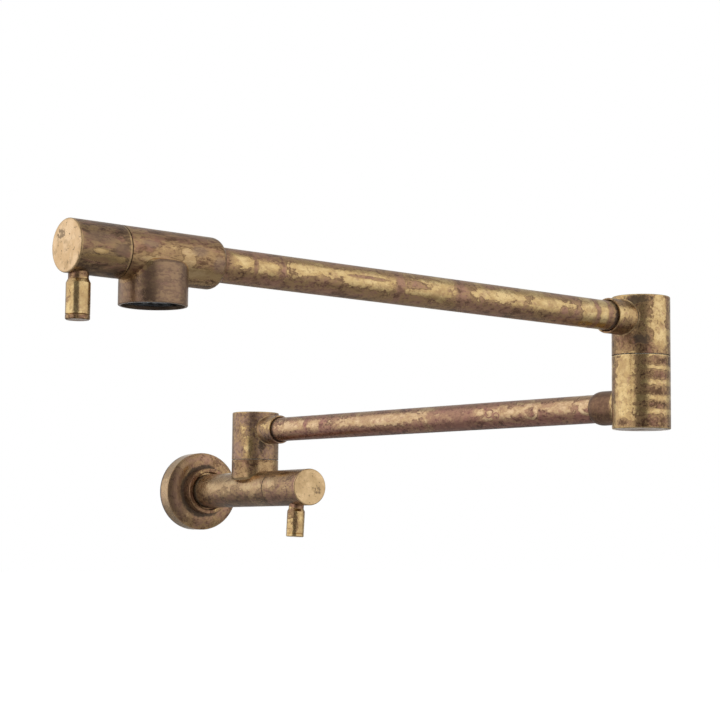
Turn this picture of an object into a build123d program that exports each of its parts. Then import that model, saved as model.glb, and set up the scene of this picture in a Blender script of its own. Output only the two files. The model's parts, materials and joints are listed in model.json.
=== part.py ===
from build123d import *
from dataclasses import dataclass
import math
import os

# Wall mounted pot filler with two swinging arms and two quarter-turn valves.
# Millimetres. The origin is on the wall plane, on the axis of the wall valve.
# +Z is up, +X is right as seen by a person who faces the wall, and the tap stands out along -Y.

# ---------------------------------------------------------------- stock sizes
tube_diameter = 14.0
tube_wall = 1.2
wall_barrel_diameter = 21.0
spout_barrel_diameter = 20.4
column_diameter = 28.0
spout_diameter = 26.6

# ---------------------------------------------------------------- reach and heights
wall_to_shoulder = 81.5
lower_arm_length = 305.0
elbow_to_spout = 282.9
lower_arm_height = 35.0
upper_arm_rise = 41.5
lower_arm_heading = -81.0
upper_arm_heading = 189.7

# ---------------------------------------------------------------- clearances
running_gap = 0.08
seat_gap = 0.05
seam_gap = 0.4
thread_gap = 0.1

# ---------------------------------------------------------------- swivel columns
hub_drop = 17.7
hub_rise = 10.9
column_edge = 0.6
elbow_column_depth = 11.2
socket_diameter = 16.8
socket_reach = 24.4
socket_depth = 12.0
socket_edge = 0.3
socket_mouth = 0.6
nose_start = 23.5
nose_end = 27.5
nose_lip = 0.5
arm_waterway = 6.0
cap_thickness = 2.2
cap_border = 1.6
cap_gap = 0.4
spigot_diameter = 15.9
spigot_bore = 9.2
spigot_end_gap = 0.6
port_diameter = 5.0
port_count = 4
chamber_depth = 2.2
chamber_length = 6.4
chamber_drop = 0.6
clip_room = 3.5
clip_thickness = 1.1
clip_bite = 0.9
clip_width = 2.6
clip_opening = 50.0
washer_thickness = 1.0
washer_width = 2.5
thrust_width = 4.8
plug_thickness = 3.4
plug_slot_width = 2.0
plug_slot_length = 13.0
plug_slot_depth = 1.2
column_bore = 14.0

# ---------------------------------------------------------------- seals
ring_section = 1.6
ring_groove = 1.9
small_ring_section = 1.2
small_ring_groove = 1.5
ring_lift = 0.03
swivel_ring_heights = (9.6, 21.6)

# ---------------------------------------------------------------- valve cartridges
wall_valve_seam = 27.8
spout_valve_seam = 16.1
cartridge_diameter = 16.4
cartridge_bore = 13.0
cartridge_neck = 11.6
cartridge_neck_length = 4.5
stem_bore = 9.2
seat_distance = 10.5
seat_seal_height = 2.5
seat_seal_bore = 9.2
seat_seal_margin = 0.3
disc_thickness = 2.5
disc_gap = 0.1
disc_pillar = 2.8
disc_rim = 1.1
disc_hole_angle = 80.0
window_length = 6.4
window_width = 9.0
window_offset = 0.6
stem_waist = 6.0
stem_collar_length = 1.4
stem_step = 4.8
stem_tail = 7.0
stem_tail_length = 9.0
dog_width = 2.2
dog_height = 1.1
cartridge_ring_place = 7.4
stem_ring_places = (7.0, 9.4)
nut_length = 4.4
nut_sink = 0.4
nut_pin_hole = 1.3

# ---------------------------------------------------------------- handles
wall_handle_length = 38.6
spout_handle_length = 22.3
wall_lever_from_face = 14.6
spout_lever_from_face = 5.5
wall_lever_lean = 2.5
handle_edge = 0.6
pocket_bore = 16.6
pocket_boss = 12.4
pocket_depth = 6.5
handle_screw_diameter = 4.0
handle_screw_sink = 0.9
handle_screw_place = 5.0
screw_socket = 2.0
screw_socket_depth = 2.0
wall_lever_diameter = 10.2
wall_lever_length = 17.9
spout_lever_diameter = 9.2
spout_lever_length = 17.0
lever_neck_step = 0.75
lever_neck_length = 1.8
lever_cone_length = 1.5
lever_edge = 0.4
lever_groove_place = 1.9
lever_groove_depth = 0.2
lever_groove_width = 0.4
stud_diameter = 5.0
stud_length = 4.0

# ---------------------------------------------------------------- wall end
inlet_recess = 0.5
inlet_hub_diameter = 27.2
inlet_hub_end = 12.0
inlet_bore = 19.0
inlet_depth = 14.0
neck_thread_diameter = 23.2
neck_thread_end = 18.0
waterway = 10.4
flange_diameter = 48.4
flange_sheet = 1.5
flange_side_end = 11.0
flange_corner = 0.5
flange_crown = 13.7
flange_flat_diameter = 31.0
flange_hole_gap = 0.3
gasket_thickness = 1.0
gasket_width = 2.8
collar_diameter = 28.4
collar_end = 21.6
collar_edge = 0.5

# ---------------------------------------------------------------- spout end
barrel_rear = 28.9
barrel_rear_edge = 3.6
branch_corner = 2.2
wall_branch_root = 5.0
spout_branch_root = 2.4
spout_drop = 19.1
spout_edge = 0.4
aerator_bore = 24.0
aerator_depth = 9.6
aerator_recess = 1.2
aerator_sheet = 1.4
aerator_lip = 0.9
aerator_lip_height = 1.0
aerator_slot = 2.4
aerator_washer_thickness = 1.5
aerator_washer_width = 4.2
insert_wall = 0.7
grid_thickness = 1.6
grid_cell = 2.5
grid_web = 0.5
grid_rows = 3
screen_thickness = 0.8
screen_hole = 1.3
screen_pitch = 2.6
screen_rows = 3

# ---------------------------------------------------------------- derived values
tube_bore = tube_diameter - 2 * tube_wall
upper_arm_height = lower_arm_height + upper_arm_rise
barrel_bore = cartridge_diameter + 2 * seat_gap
hub_top = hub_drop + hub_rise
hub_bore = spigot_diameter + 2 * running_gap
valve_branch_top = lower_arm_height - hub_drop
spigot_thread = valve_branch_top - barrel_bore / 2 - seat_gap
spigot_top = hub_top - cap_thickness - cap_gap
clip_floor = hub_top - cap_thickness - clip_room
clip_bottom = clip_floor + running_gap + washer_thickness
cap_diameter = column_diameter - 2 * cap_border
socket_bore = tube_diameter + 2 * seat_gap
tube_start = socket_reach - socket_depth + seat_gap


# ---------------------------------------------------------------- basic solids
def rod(diameter, start, end):
    """Round bar on the local Z axis from start to end."""
    low, high = min(start, end), max(start, end)
    return Pos(0, 0, low) * Cylinder(diameter / 2, high - low, align=(Align.CENTER, Align.CENTER, Align.MIN))


def ring(outer, inner, start, end):
    """Flat ring on the local Z axis from start to end."""
    return rod(outer, start, end) - rod(inner, start, end)


def seal_ring(shaft, section, place):
    """Round-section sealing ring in the groove of a shaft on the local Z axis."""
    return Pos(0, 0, place) * Torus(shaft / 2 + ring_lift - section / 2, section / 2)


def seal_groove(shaft, section, width, place):
    """Groove for a sealing ring that stands proud of its shaft by the ring's lift."""
    floor = shaft + 2 * (ring_lift - section)
    return ring(shaft + section, floor, place - width / 2, place + width / 2)


def cross_rod(diameter, start, end, along=0.0):
    """Round bar on the local X axis from start to end, at the distance along on Z."""
    return Pos(0, 0, along) * Rot(0, 90, 0) * rod(diameter, start, end)


def turned(profile):
    """Solid turned about the local Z axis from (radius, place) corners."""
    corners = [(radius, 0, place) for radius, place in profile]
    return revolve(make_face(Polyline(*corners, close=True)), Axis.Z)


def round_edge(solid, place, radius, diameter):
    """Round the turned edge of one diameter that lies at one place on the local Z axis."""
    edges = [
        edge
        for edge in solid.edges().filter_by(GeomType.CIRCLE)
        if abs(edge.arc_center.Z - place) < 1e-4 and abs(edge.radius - diameter / 2) < 1e-4
    ]
    return fillet(edges, radius)


# ---------------------------------------------------------------- places of the assemblies
def heading(degrees):
    """Level direction that is turned by degrees from +X."""
    return Vector(math.cos(math.radians(degrees)), math.sin(math.radians(degrees)), 0)


shoulder = Vector(0, -wall_to_shoulder, 0)
elbow = shoulder + heading(lower_arm_heading) * lower_arm_length
lower_arm_point = shoulder + Vector(0, 0, lower_arm_height)
upper_arm_point = elbow + Vector(0, 0, upper_arm_height)
spout_point = upper_arm_point + heading(upper_arm_heading) * elbow_to_spout
up = Vector(0, 0, 1)

wall_valve_place = Plane(origin=shoulder, x_dir=up, z_dir=Vector(0, -1, 0))
spout_valve_place = Plane(origin=spout_point, x_dir=-up, z_dir=heading(upper_arm_heading))
shoulder_place = Plane(
    origin=lower_arm_point - up * hub_drop, x_dir=heading(lower_arm_heading), z_dir=up
)
elbow_place = Plane(
    origin=upper_arm_point - up * hub_drop, x_dir=heading(upper_arm_heading), z_dir=up
)
lower_elbow_place = Plane(
    origin=elbow + up * lower_arm_height, x_dir=-heading(lower_arm_heading), z_dir=up
)
elbow_seam_rise = upper_arm_height - hub_drop - lower_arm_height
lower_arm_place = Plane(origin=lower_arm_point, x_dir=up, z_dir=heading(lower_arm_heading))
upper_arm_place = Plane(origin=upper_arm_point, x_dir=up, z_dir=heading(upper_arm_heading))


# ---------------------------------------------------------------- swivel joint
def square_socket():
    """Stub that takes an arm tube, on the local X axis, with a square rim round a bevelled mouth."""
    stub = rod(socket_diameter, 0, socket_reach)
    stub = round_edge(stub, socket_reach, socket_edge, socket_diameter)
    mouth = Pos(0, 0, socket_reach - socket_mouth / 2) * Cone(
        socket_bore / 2, socket_bore / 2 + socket_mouth, socket_mouth
    )
    return Rot(0, 90, 0) * (stub - mouth)


def nosed_socket():
    """Stub that takes an arm tube, on the local X axis, with an end that is rounded to the tube."""
    side, lip = socket_diameter / 2, socket_bore / 2 + nose_lip
    outline = [
        Polyline((0, 0, 0), (side, 0, 0), (side, 0, nose_start)),
        TangentArc((side, 0, nose_start), (lip, 0, nose_end), tangent=(0, 0, 1)),
        Polyline((lip, 0, nose_end), (0, 0, nose_end), (0, 0, 0)),
    ]
    return Rot(0, 90, 0) * revolve(make_face(outline), Axis.Z)


def socket_bores(reach):
    """Bores of a socket on the local X axis: the tube's seat and the waterway behind it."""
    seat = rod(socket_bore, tube_start - seat_gap, reach)
    return Rot(0, 90, 0) * (seat + rod(arm_waterway, 0, reach))


def swivel_hub():
    """Turning part of a column: a capped sleeve with the arm's socket, standing on its seam."""
    sleeve = rod(column_diameter, seam_gap, hub_top)
    sleeve = round_edge(sleeve, hub_top, column_edge, column_diameter)
    hub = sleeve + Pos(0, 0, hub_drop) * square_socket()
    hub -= rod(hub_bore, seam_gap, clip_floor)
    hub -= rod(cap_diameter - 2 * cap_border, clip_floor, hub_top)
    hub -= rod(cap_diameter, hub_top - cap_thickness, hub_top)
    chamber_middle = hub_drop - chamber_drop
    hub -= rod(
        hub_bore + 2 * chamber_depth,
        chamber_middle - chamber_length / 2,
        chamber_middle + chamber_length / 2,
    )
    return hub - Pos(0, 0, hub_drop) * socket_bores(socket_reach)


def swivel_cap():
    """Round plate that closes the hub's top."""
    plate = rod(cap_diameter - 2 * seat_gap, hub_top - cap_thickness, hub_top)
    return round_edge(plate, hub_top, column_edge / 2, cap_diameter - 2 * seat_gap)


def swivel_spigot():
    """Hollow post that is screwed into the lower column and carries the hub."""
    post = rod(spigot_diameter, -spigot_thread, spigot_top)
    post -= rod(spigot_bore, -spigot_thread, hub_drop + port_diameter / 2)
    for place in swivel_ring_heights:
        post -= seal_groove(spigot_diameter, ring_section, ring_groove, place)
    groove = spigot_diameter - 2 * clip_bite
    post -= ring(spigot_diameter + clip_bite, groove, clip_bottom, clip_bottom + clip_thickness)
    port = cross_rod(port_diameter, 0, spigot_diameter, hub_drop - chamber_drop)
    for index in range(port_count):
        post -= Rot(0, 0, 360 / port_count * index) * port
    return post


def swivel_seals():
    """Two sealing rings in the post's grooves, above and below its ports."""
    return [seal_ring(spigot_diameter, ring_section, place) for place in swivel_ring_heights]


def swivel_washer():
    """Flat washer between the hub's ledge and the clip."""
    inner = spigot_diameter + 2 * seat_gap
    start = clip_floor + running_gap
    return ring(inner + 2 * washer_width, inner, start, start + washer_thickness)


def swivel_clip():
    """Open spring clip in the post's upper groove."""
    inner = spigot_diameter - 2 * clip_bite
    start = clip_bottom + seat_gap / 2
    clip = ring(inner + 2 * clip_width, inner, start, start + clip_thickness - seat_gap)
    half = math.radians(clip_opening / 2)
    reach = spigot_diameter
    wedge = make_face(
        Polyline(
            (0, 0, start),
            (reach * math.cos(half), reach * math.sin(half), start),
            (reach * math.cos(half), -reach * math.sin(half), start),
            close=True,
        )
    )
    return clip - extrude(wedge, clip_thickness, dir=(0, 0, 1))


def thrust_ring():
    """Slippery ring in the seam between the two halves of a column."""
    inner = spigot_diameter + 2 * thread_gap
    return ring(inner + 2 * thrust_width, inner, 0, seam_gap)


def spigot_seat(top):
    """Bore on the local Z axis that takes the post's thread under a seam."""
    return rod(spigot_diameter + 2 * seat_gap, top - spigot_thread - spigot_end_gap, top)


def elbow_column():
    """Lower half of the elbow: a tube with the lower arm's socket, open at both ends."""
    sleeve = rod(column_diameter, -elbow_column_depth, elbow_seam_rise)
    sleeve = round_edge(sleeve, -elbow_column_depth, column_edge, column_diameter)
    column = sleeve + nosed_socket()
    column -= rod(column_bore, -elbow_column_depth, elbow_seam_rise)
    column -= spigot_seat(elbow_seam_rise)
    column -= rod(cap_diameter, -elbow_column_depth, plug_thickness - elbow_column_depth)
    return column - socket_bores(nose_end)


def elbow_plug():
    """Screwed plate that closes the elbow from below, with a slot for a driver."""
    bottom = -elbow_column_depth
    plate = rod(cap_diameter - 2 * seat_gap, bottom, bottom + plug_thickness)
    plate = round_edge(plate, bottom, column_edge / 2, cap_diameter - 2 * seat_gap)
    return plate - Pos(0, 0, bottom) * Box(plug_slot_length, plug_slot_width, 2 * plug_slot_depth)


# ---------------------------------------------------------------- quarter-turn cartridge
def disc_holes(diameter, start, end, turn):
    """Two opposite fan-shaped water holes of a ceramic disc."""
    fan = Cylinder(
        diameter / 2 - disc_rim,
        end - start,
        arc_size=disc_hole_angle,
        align=(Align.NONE, Align.NONE, Align.MIN),
    )
    fan = Pos(0, 0, start) * Rot(0, 0, turn - disc_hole_angle / 2) * fan
    return fan + Rot(0, 0, 180) * fan - rod(disc_pillar, start, end)


def fixed_disc():
    """Ceramic disc that stays in the cartridge, with its two water holes."""
    diameter = cartridge_bore - 2 * seat_gap
    start = seat_seal_height - seat_distance
    disc = rod(diameter, start, start + disc_thickness)
    return disc - disc_holes(diameter, start, start + disc_thickness, 0)


def moving_disc():
    """Ceramic disc that turns with the stem; at rest its holes are a quarter turn away."""
    diameter = cartridge_bore - 2 * disc_gap
    start = seat_seal_height - seat_distance + disc_thickness
    end = start + disc_thickness
    disc = rod(diameter, start, end)
    disc -= disc_holes(diameter, start, end, 90)
    slot = Pos(0, 0, end) * Box(diameter + 1, dog_width + 2 * seat_gap, 2 * (dog_height + seat_gap))
    return disc - slot


def seat_seal():
    """Rubber ring between the barrel's floor and the cartridge."""
    outer = barrel_bore - 2 * seat_seal_margin
    return ring(outer, seat_seal_bore, -seat_distance, seat_seal_height - seat_distance)


def cartridge_housing(seam):
    """Brass cartridge shell: disc bore, side windows, ring groove and stem neck."""
    start = seat_seal_height - seat_distance
    shoulder_end = seam - nut_sink - nut_length - seat_gap
    shell = rod(cartridge_diameter, start, shoulder_end)
    shell += rod(cartridge_neck, shoulder_end, seam - nut_sink)
    shell -= rod(cartridge_bore, start, stem_step)
    shell -= rod(stem_bore, stem_step, seam)
    window = Pos(0, 0, window_offset) * Box(2 * cartridge_diameter, window_width, window_length)
    shell -= window
    return shell - seal_groove(cartridge_diameter, ring_section, ring_groove, cartridge_ring_place)


def cartridge_seal():
    """Sealing ring round the cartridge shell."""
    return seal_ring(cartridge_diameter, ring_section, cartridge_ring_place)


def gland_nut(seam):
    """Threaded ring that holds the cartridge in the barrel, with two pin holes."""
    end = seam - nut_sink
    start = end - nut_length
    inner = cartridge_neck + 2 * thread_gap
    nut = ring(cartridge_diameter, inner, start, end)
    middle = (cartridge_diameter + inner) / 4
    for side in (-middle, middle):
        nut -= Pos(0, side, 0) * rod(nut_pin_hole, end - nut_length / 2, end)
    return nut


def valve_stem(seam):
    """Stem with its dog, waist, collar, sealed journal and the tail that the handle grips."""
    floor = seat_seal_height - seat_distance + 2 * disc_thickness
    collar_end = stem_step - seat_gap
    collar_start = collar_end - stem_collar_length
    journal = stem_bore - 2 * running_gap
    foot = cartridge_bore - 4 * running_gap
    stem = rod(stem_waist, floor, collar_start)
    stem += rod(foot, collar_start, collar_end)
    stem += rod(journal, collar_end, seam - nut_sink)
    stem += rod(stem_tail, seam - nut_sink, seam + stem_tail_length)
    dog = Box(foot, dog_width, 2 * dog_height) & rod(foot, -dog_height, dog_height)
    stem += Pos(0, 0, floor) * dog
    for place in stem_ring_places:
        stem -= seal_groove(journal, small_ring_section, small_ring_groove, place)
    return stem


def stem_seals():
    """Two small sealing rings on the stem."""
    journal = stem_bore - 2 * running_gap
    return [seal_ring(journal, small_ring_section, place) for place in stem_ring_places]


# ---------------------------------------------------------------- handles
@dataclass
class Valve:
    """Sizes of one quarter-turn valve; angles turn about its barrel from its local X axis."""

    place: Plane
    barrel: float
    seam: float
    handle_length: float
    lever_from_face: float
    lever_diameter: float
    lever_length: float
    lever_angle: float

    @property
    def handle_start(self):
        return self.seam + seam_gap

    @property
    def handle_end(self):
        return self.handle_start + self.handle_length

    @property
    def lever_place(self):
        return self.handle_end - self.lever_from_face

    @property
    def neck(self):
        return self.lever_diameter - 2 * lever_neck_step

    @property
    def lever_root(self):
        """Distance from the barrel's axis at which the lever's neck leaves the round surface."""
        return math.sqrt(self.barrel**2 - self.neck**2) / 2 - seat_gap


def handle_barrel(valve):
    """Round handle that continues the barrel, with its pocket, stem socket and cross holes."""
    start, end, barrel = valve.handle_start, valve.handle_end, valve.barrel
    body = round_edge(rod(barrel, start, end), end, handle_edge, barrel)
    body -= ring(pocket_bore, pocket_boss, start, start + pocket_depth)
    body -= rod(stem_tail + 2 * seat_gap, start, valve.seam + stem_tail_length + seat_gap)
    stud_floor = barrel / 2 - stud_length - seat_gap
    body -= cross_rod(stud_diameter + 2 * seat_gap, stud_floor, barrel, valve.lever_place)
    body -= cross_rod(valve.neck + 2 * seat_gap, valve.lever_root, barrel, valve.lever_place)
    screw_place = start + handle_screw_place
    return body - cross_rod(handle_screw_diameter + 2 * seat_gap, -barrel, 0, screw_place)


def lever_pin(valve):
    """Lever that hangs from the handle: stud, neck, cone and grip with a fine groove."""
    surface = valve.barrel / 2
    neck_end = surface + lever_neck_length
    grip_start = neck_end + lever_cone_length
    tip = surface + valve.lever_length
    grip, neck, stud = valve.lever_diameter / 2, valve.neck / 2, stud_diameter / 2
    groove_place = tip - lever_groove_place
    profile = [
        (0, surface - stud_length),
        (stud, surface - stud_length),
        (stud, valve.lever_root),
        (neck, valve.lever_root),
        (neck, neck_end),
        (grip, grip_start),
        (grip, groove_place - lever_groove_width / 2),
        (grip - lever_groove_depth, groove_place),
        (grip, groove_place + lever_groove_width / 2),
        (grip, tip - lever_edge),
        (grip - lever_edge, tip),
        (0, tip),
    ]
    return Pos(0, 0, valve.lever_place) * Rot(0, 90, 0) * turned(profile)


def handle_screw(valve):
    """Grub screw opposite the lever that grips the stem, with a six-sided socket."""
    tail = stem_tail / 2 + seat_gap
    head = valve.barrel / 2 - handle_screw_sink
    screw = rod(handle_screw_diameter, tail, head)
    socket = extrude(RegularPolygon(screw_socket / 2, 6, major_radius=False), screw_socket_depth)
    screw -= Pos(0, 0, head - screw_socket_depth) * socket
    return Pos(0, 0, valve.handle_start + handle_screw_place) * Rot(0, -90, 0) * screw


# ---------------------------------------------------------------- barrels
def branch(diameter, root, end, edge):
    """Round branch on the local X axis, with a rounded root that sinks into the barrel."""
    stub = rod(diameter, root, end)
    stub = round_edge(stub, root, branch_corner, diameter)
    if edge:
        stub = round_edge(stub, end, edge, diameter)
    return Rot(0, 90, 0) * stub


def valve_body():
    """Wall valve: inlet hub, threaded neck, barrel and the fixed lower half of the shoulder."""
    wall = -wall_to_shoulder
    seam = wall_valve_seam
    body = rod(inlet_hub_diameter, wall + inlet_recess, wall + inlet_hub_end)
    body += rod(neck_thread_diameter, wall + inlet_hub_end, wall + neck_thread_end)
    body += rod(wall_barrel_diameter, wall + neck_thread_end, seam)
    body += branch(column_diameter, wall_branch_root, valve_branch_top, 0)
    body -= rod(inlet_bore, wall + inlet_recess, wall + inlet_recess + inlet_depth)
    body -= rod(waterway, wall + inlet_recess + inlet_depth, -seat_distance)
    body -= rod(barrel_bore, -seat_distance, seam)
    return body - Rot(0, 90, 0) * spigot_seat(valve_branch_top)


def outlet_body():
    """Spout end: tube socket, barrel for the second cartridge and the aerator's housing."""
    seam = spout_valve_seam
    body = rod(spout_barrel_diameter, -barrel_rear, seam)
    body = round_edge(body, -barrel_rear, barrel_rear_edge, spout_barrel_diameter)
    body += branch(spout_diameter, spout_branch_root, spout_drop, spout_edge)
    body -= rod(socket_bore, -barrel_rear, -barrel_rear + socket_depth)
    body -= rod(waterway, -barrel_rear + socket_depth, -seat_distance)
    body -= rod(barrel_bore, -seat_distance, seam)
    body -= cross_rod(waterway, 0, spout_drop - aerator_depth)
    body -= cross_rod(aerator_bore, spout_drop - aerator_depth, spout_drop)
    return body


# ---------------------------------------------------------------- wall end
def flange_face(inset):
    """Crowned line of the flange's face, from its flat middle to its side, moved in by a distance."""
    side = flange_diameter / 2 - inset
    flat = (flange_flat_diameter / 2, 0, flange_crown - inset - wall_to_shoulder)
    return TangentArc(flat, (side, 0, flange_side_end - inset - wall_to_shoulder), tangent=(1, 0, 0))


def wall_flange():
    """Shallow cup that hides the hole in the wall, with a slightly crowned face."""
    hole = neck_thread_diameter / 2 + flange_hole_gap
    rim = gasket_thickness - wall_to_shoulder
    outer, inner = flange_face(0), flange_face(flange_sheet)
    outline = [
        Polyline((hole, 0, (inner @ 0).Z), (hole, 0, (outer @ 0).Z), outer @ 0),
        outer,
        Polyline(outer @ 1, ((outer @ 1).X, 0, rim), ((inner @ 1).X, 0, rim), inner @ 1),
        inner,
        Line(inner @ 0, (hole, 0, (inner @ 0).Z)),
    ]
    flange = revolve(make_face(outline), Axis.Z)
    return round_edge(flange, (outer @ 1).Z, flange_corner, flange_diameter)


def flange_gasket():
    """Rubber ring under the flange's rim."""
    outer = flange_diameter - 2 * seat_gap
    return ring(outer, outer - 2 * gasket_width, -wall_to_shoulder, gasket_thickness - wall_to_shoulder)


def flange_collar():
    """Threaded ring that holds the flange against the inlet hub."""
    wall = -wall_to_shoulder
    start = wall + flange_crown
    end = wall + collar_end
    collar = ring(collar_diameter, neck_thread_diameter + 2 * thread_gap, start, end)
    collar = round_edge(collar, end, collar_edge, collar_diameter)
    return round_edge(collar, end, collar_edge, neck_thread_diameter + 2 * thread_gap)


# ---------------------------------------------------------------- aerator
def hexagon_grid(pitch, rows):
    """Centres of a six-sided pattern with a number of rows round its middle."""
    for q in range(-rows, rows + 1):
        for r in range(-rows, rows + 1):
            if abs(q + r) <= rows:
                yield pitch * (q + r / 2), pitch * r * math.sqrt(3) / 2


def aerator_top():
    """Place on the spout's axis where the aerator's pieces start, under the washer."""
    return spout_drop - aerator_depth + aerator_washer_thickness


def aerator_shell():
    """Threaded ring that carries the aerator, with an inner lip and two slots for a key."""
    outer = aerator_bore - 2 * thread_gap
    inner = outer - 2 * aerator_sheet
    end = spout_drop - aerator_recess
    shell = ring(outer, inner, aerator_top(), end)
    shell += ring(inner, inner - 2 * aerator_lip, end - aerator_lip_height, end)
    slot = Pos(0, 0, end) * Box(2 * outer, aerator_slot, aerator_lip_height)
    return shell - slot


def aerator_insert():
    """Plastic cup whose floor is a honeycomb that straightens the water."""
    outer = aerator_bore - 2 * thread_gap - 2 * aerator_sheet - 2 * seat_gap
    end = spout_drop - aerator_recess - aerator_lip_height - seat_gap
    cup = rod(outer, aerator_top() + screen_thickness, end)
    cup -= rod(outer - 2 * insert_wall, aerator_top() + screen_thickness, end - grid_thickness)
    cells = [
        Pos(x, y, end - grid_thickness) * RegularPolygon(grid_cell / 2, 6, major_radius=False)
        for x, y in hexagon_grid(grid_cell + grid_web, grid_rows)
    ]
    return cup - extrude(Sketch() + cells, grid_thickness, dir=(0, 0, 1))


def aerator_screen():
    """Thin perforated disc above the insert."""
    outer = aerator_bore - 2 * thread_gap - 2 * aerator_sheet - 2 * seat_gap
    start = aerator_top()
    disc = rod(outer, start, start + screen_thickness)
    holes = [
        Pos(x, y, start) * Circle(screen_hole / 2) for x, y in hexagon_grid(screen_pitch, screen_rows)
    ]
    return disc - extrude(Sketch() + holes, screen_thickness, dir=(0, 0, 1))


def aerator_washer():
    """Rubber washer above the aerator."""
    outer = aerator_bore - 2 * thread_gap
    return ring(outer, outer - 2 * aerator_washer_width, spout_drop - aerator_depth, aerator_top())


# ---------------------------------------------------------------- arms
def arm_tube(length):
    """Straight arm tube on the local Z axis between two sockets."""
    return ring(tube_diameter, tube_bore, tube_start, length)


lower_tube_end = lower_arm_length - tube_start
upper_tube_end = elbow_to_spout - barrel_rear + socket_depth - seat_gap

down_the_spout = Rot(0, 90, 0)
valves = {
    "wall": Valve(
        place=wall_valve_place,
        barrel=wall_barrel_diameter,
        seam=wall_valve_seam,
        handle_length=wall_handle_length,
        lever_from_face=wall_lever_from_face,
        lever_diameter=wall_lever_diameter,
        lever_length=wall_lever_length,
        lever_angle=180 - wall_lever_lean,
    ),
    "outlet": Valve(
        place=spout_valve_place,
        barrel=spout_barrel_diameter,
        seam=spout_valve_seam,
        handle_length=spout_handle_length,
        lever_from_face=spout_lever_from_face,
        lever_diameter=spout_lever_diameter,
        lever_length=spout_lever_length,
        lever_angle=0,
    ),
}

# ---------------------------------------------------------------- the nodes
groups = {
    "wall_flange": (wall_valve_place, [wall_flange()]),
    "flange_gasket": (wall_valve_place, [flange_gasket()]),
    "flange_collar": (wall_valve_place, [flange_collar()]),
    "valve_body": (wall_valve_place, [valve_body()]),
    "outlet_body": (spout_valve_place, [outlet_body()]),
    "aerator_shell": (spout_valve_place, [down_the_spout * aerator_shell()]),
    "aerator_insert": (spout_valve_place, [down_the_spout * aerator_insert()]),
    "aerator_screen": (spout_valve_place, [down_the_spout * aerator_screen()]),
    "aerator_washer": (spout_valve_place, [down_the_spout * aerator_washer()]),
    "lower_arm_tube": (lower_arm_place, [arm_tube(lower_tube_end)]),
    "upper_arm_tube": (upper_arm_place, [arm_tube(upper_tube_end)]),
    "elbow_column": (lower_elbow_place, [elbow_column()]),
    "elbow_plug": (lower_elbow_place, [elbow_plug()]),
}

for name, place in (("shoulder", shoulder_place), ("elbow", elbow_place)):
    groups[f"{name}_hub"] = (place, [swivel_hub()])
    groups[f"{name}_cap"] = (place, [swivel_cap()])
    groups[f"{name}_spigot"] = (place, [swivel_spigot()])
    groups[f"{name}_seals"] = (place, swivel_seals())
    groups[f"{name}_washer"] = (place, [swivel_washer()])
    groups[f"{name}_clip"] = (place, [swivel_clip()])
    groups[f"{name}_thrust_ring"] = (place, [thrust_ring()])

for name, valve in valves.items():
    place, turn = valve.place, Rot(0, 0, valve.lever_angle)
    groups[f"{name}_seat_seal"] = (place, [seat_seal()])
    groups[f"{name}_cartridge"] = (place, [cartridge_housing(valve.seam)])
    groups[f"{name}_cartridge_seal"] = (place, [cartridge_seal()])
    groups[f"{name}_fixed_disc"] = (place, [fixed_disc()])
    groups[f"{name}_gland_nut"] = (place, [gland_nut(valve.seam)])
    groups[f"{name}_moving_disc"] = (place, [turn * moving_disc()])
    groups[f"{name}_stem"] = (place, [turn * valve_stem(valve.seam)])
    groups[f"{name}_stem_seals"] = (place, [turn * seal for seal in stem_seals()])
    groups[f"{name}_handle"] = (place, [turn * handle_barrel(valve)])
    groups[f"{name}_lever"] = (place, [turn * lever_pin(valve)])
    groups[f"{name}_handle_screw"] = (place, [turn * handle_screw(valve)])

os.makedirs("parts", exist_ok=True)
for node, (place, solids) in groups.items():
    placed = [place.location * solid for solid in solids]
    shape = placed[0] if len(placed) == 1 else Compound(children=placed)
    shape.label = node
    export_step(shape, f"parts/{node}.step")
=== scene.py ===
"""Wall mounted pot filler in aged brass: its finishes, its fine pieces, the studio and the camera."""
import json
import logging
import math
from dataclasses import dataclass
from enum import Enum

import bpy
from mathutils import Euler, Matrix, Vector


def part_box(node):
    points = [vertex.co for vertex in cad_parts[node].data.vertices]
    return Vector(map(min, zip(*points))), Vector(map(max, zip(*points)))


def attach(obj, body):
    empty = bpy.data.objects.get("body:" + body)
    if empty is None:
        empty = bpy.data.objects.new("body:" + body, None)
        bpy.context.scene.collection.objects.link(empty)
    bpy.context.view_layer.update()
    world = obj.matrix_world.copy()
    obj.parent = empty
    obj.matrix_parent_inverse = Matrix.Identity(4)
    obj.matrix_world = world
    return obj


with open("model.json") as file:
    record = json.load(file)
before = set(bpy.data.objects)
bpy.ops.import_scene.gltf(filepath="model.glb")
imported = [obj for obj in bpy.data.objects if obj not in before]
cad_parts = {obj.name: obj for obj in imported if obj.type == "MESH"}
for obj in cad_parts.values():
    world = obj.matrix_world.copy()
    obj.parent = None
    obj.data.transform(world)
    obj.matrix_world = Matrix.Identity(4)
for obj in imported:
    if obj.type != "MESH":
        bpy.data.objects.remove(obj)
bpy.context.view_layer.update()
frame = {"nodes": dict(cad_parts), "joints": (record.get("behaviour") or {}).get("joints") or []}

MM = 0.001

log = logging.getLogger("pot_filler")

Colour = tuple[float, float, float]
Socket = bpy.types.NodeSocket
Sockets = bpy.types.NodeOutputs
Node = bpy.types.Node
Tree = bpy.types.NodeTree
Material = bpy.types.Material
Piece = bpy.types.Object
Value = float | Socket

WHITE: Colour = (1.0, 1.0, 1.0)
UP = Vector((0.0, 0.0, 1.0))


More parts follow.
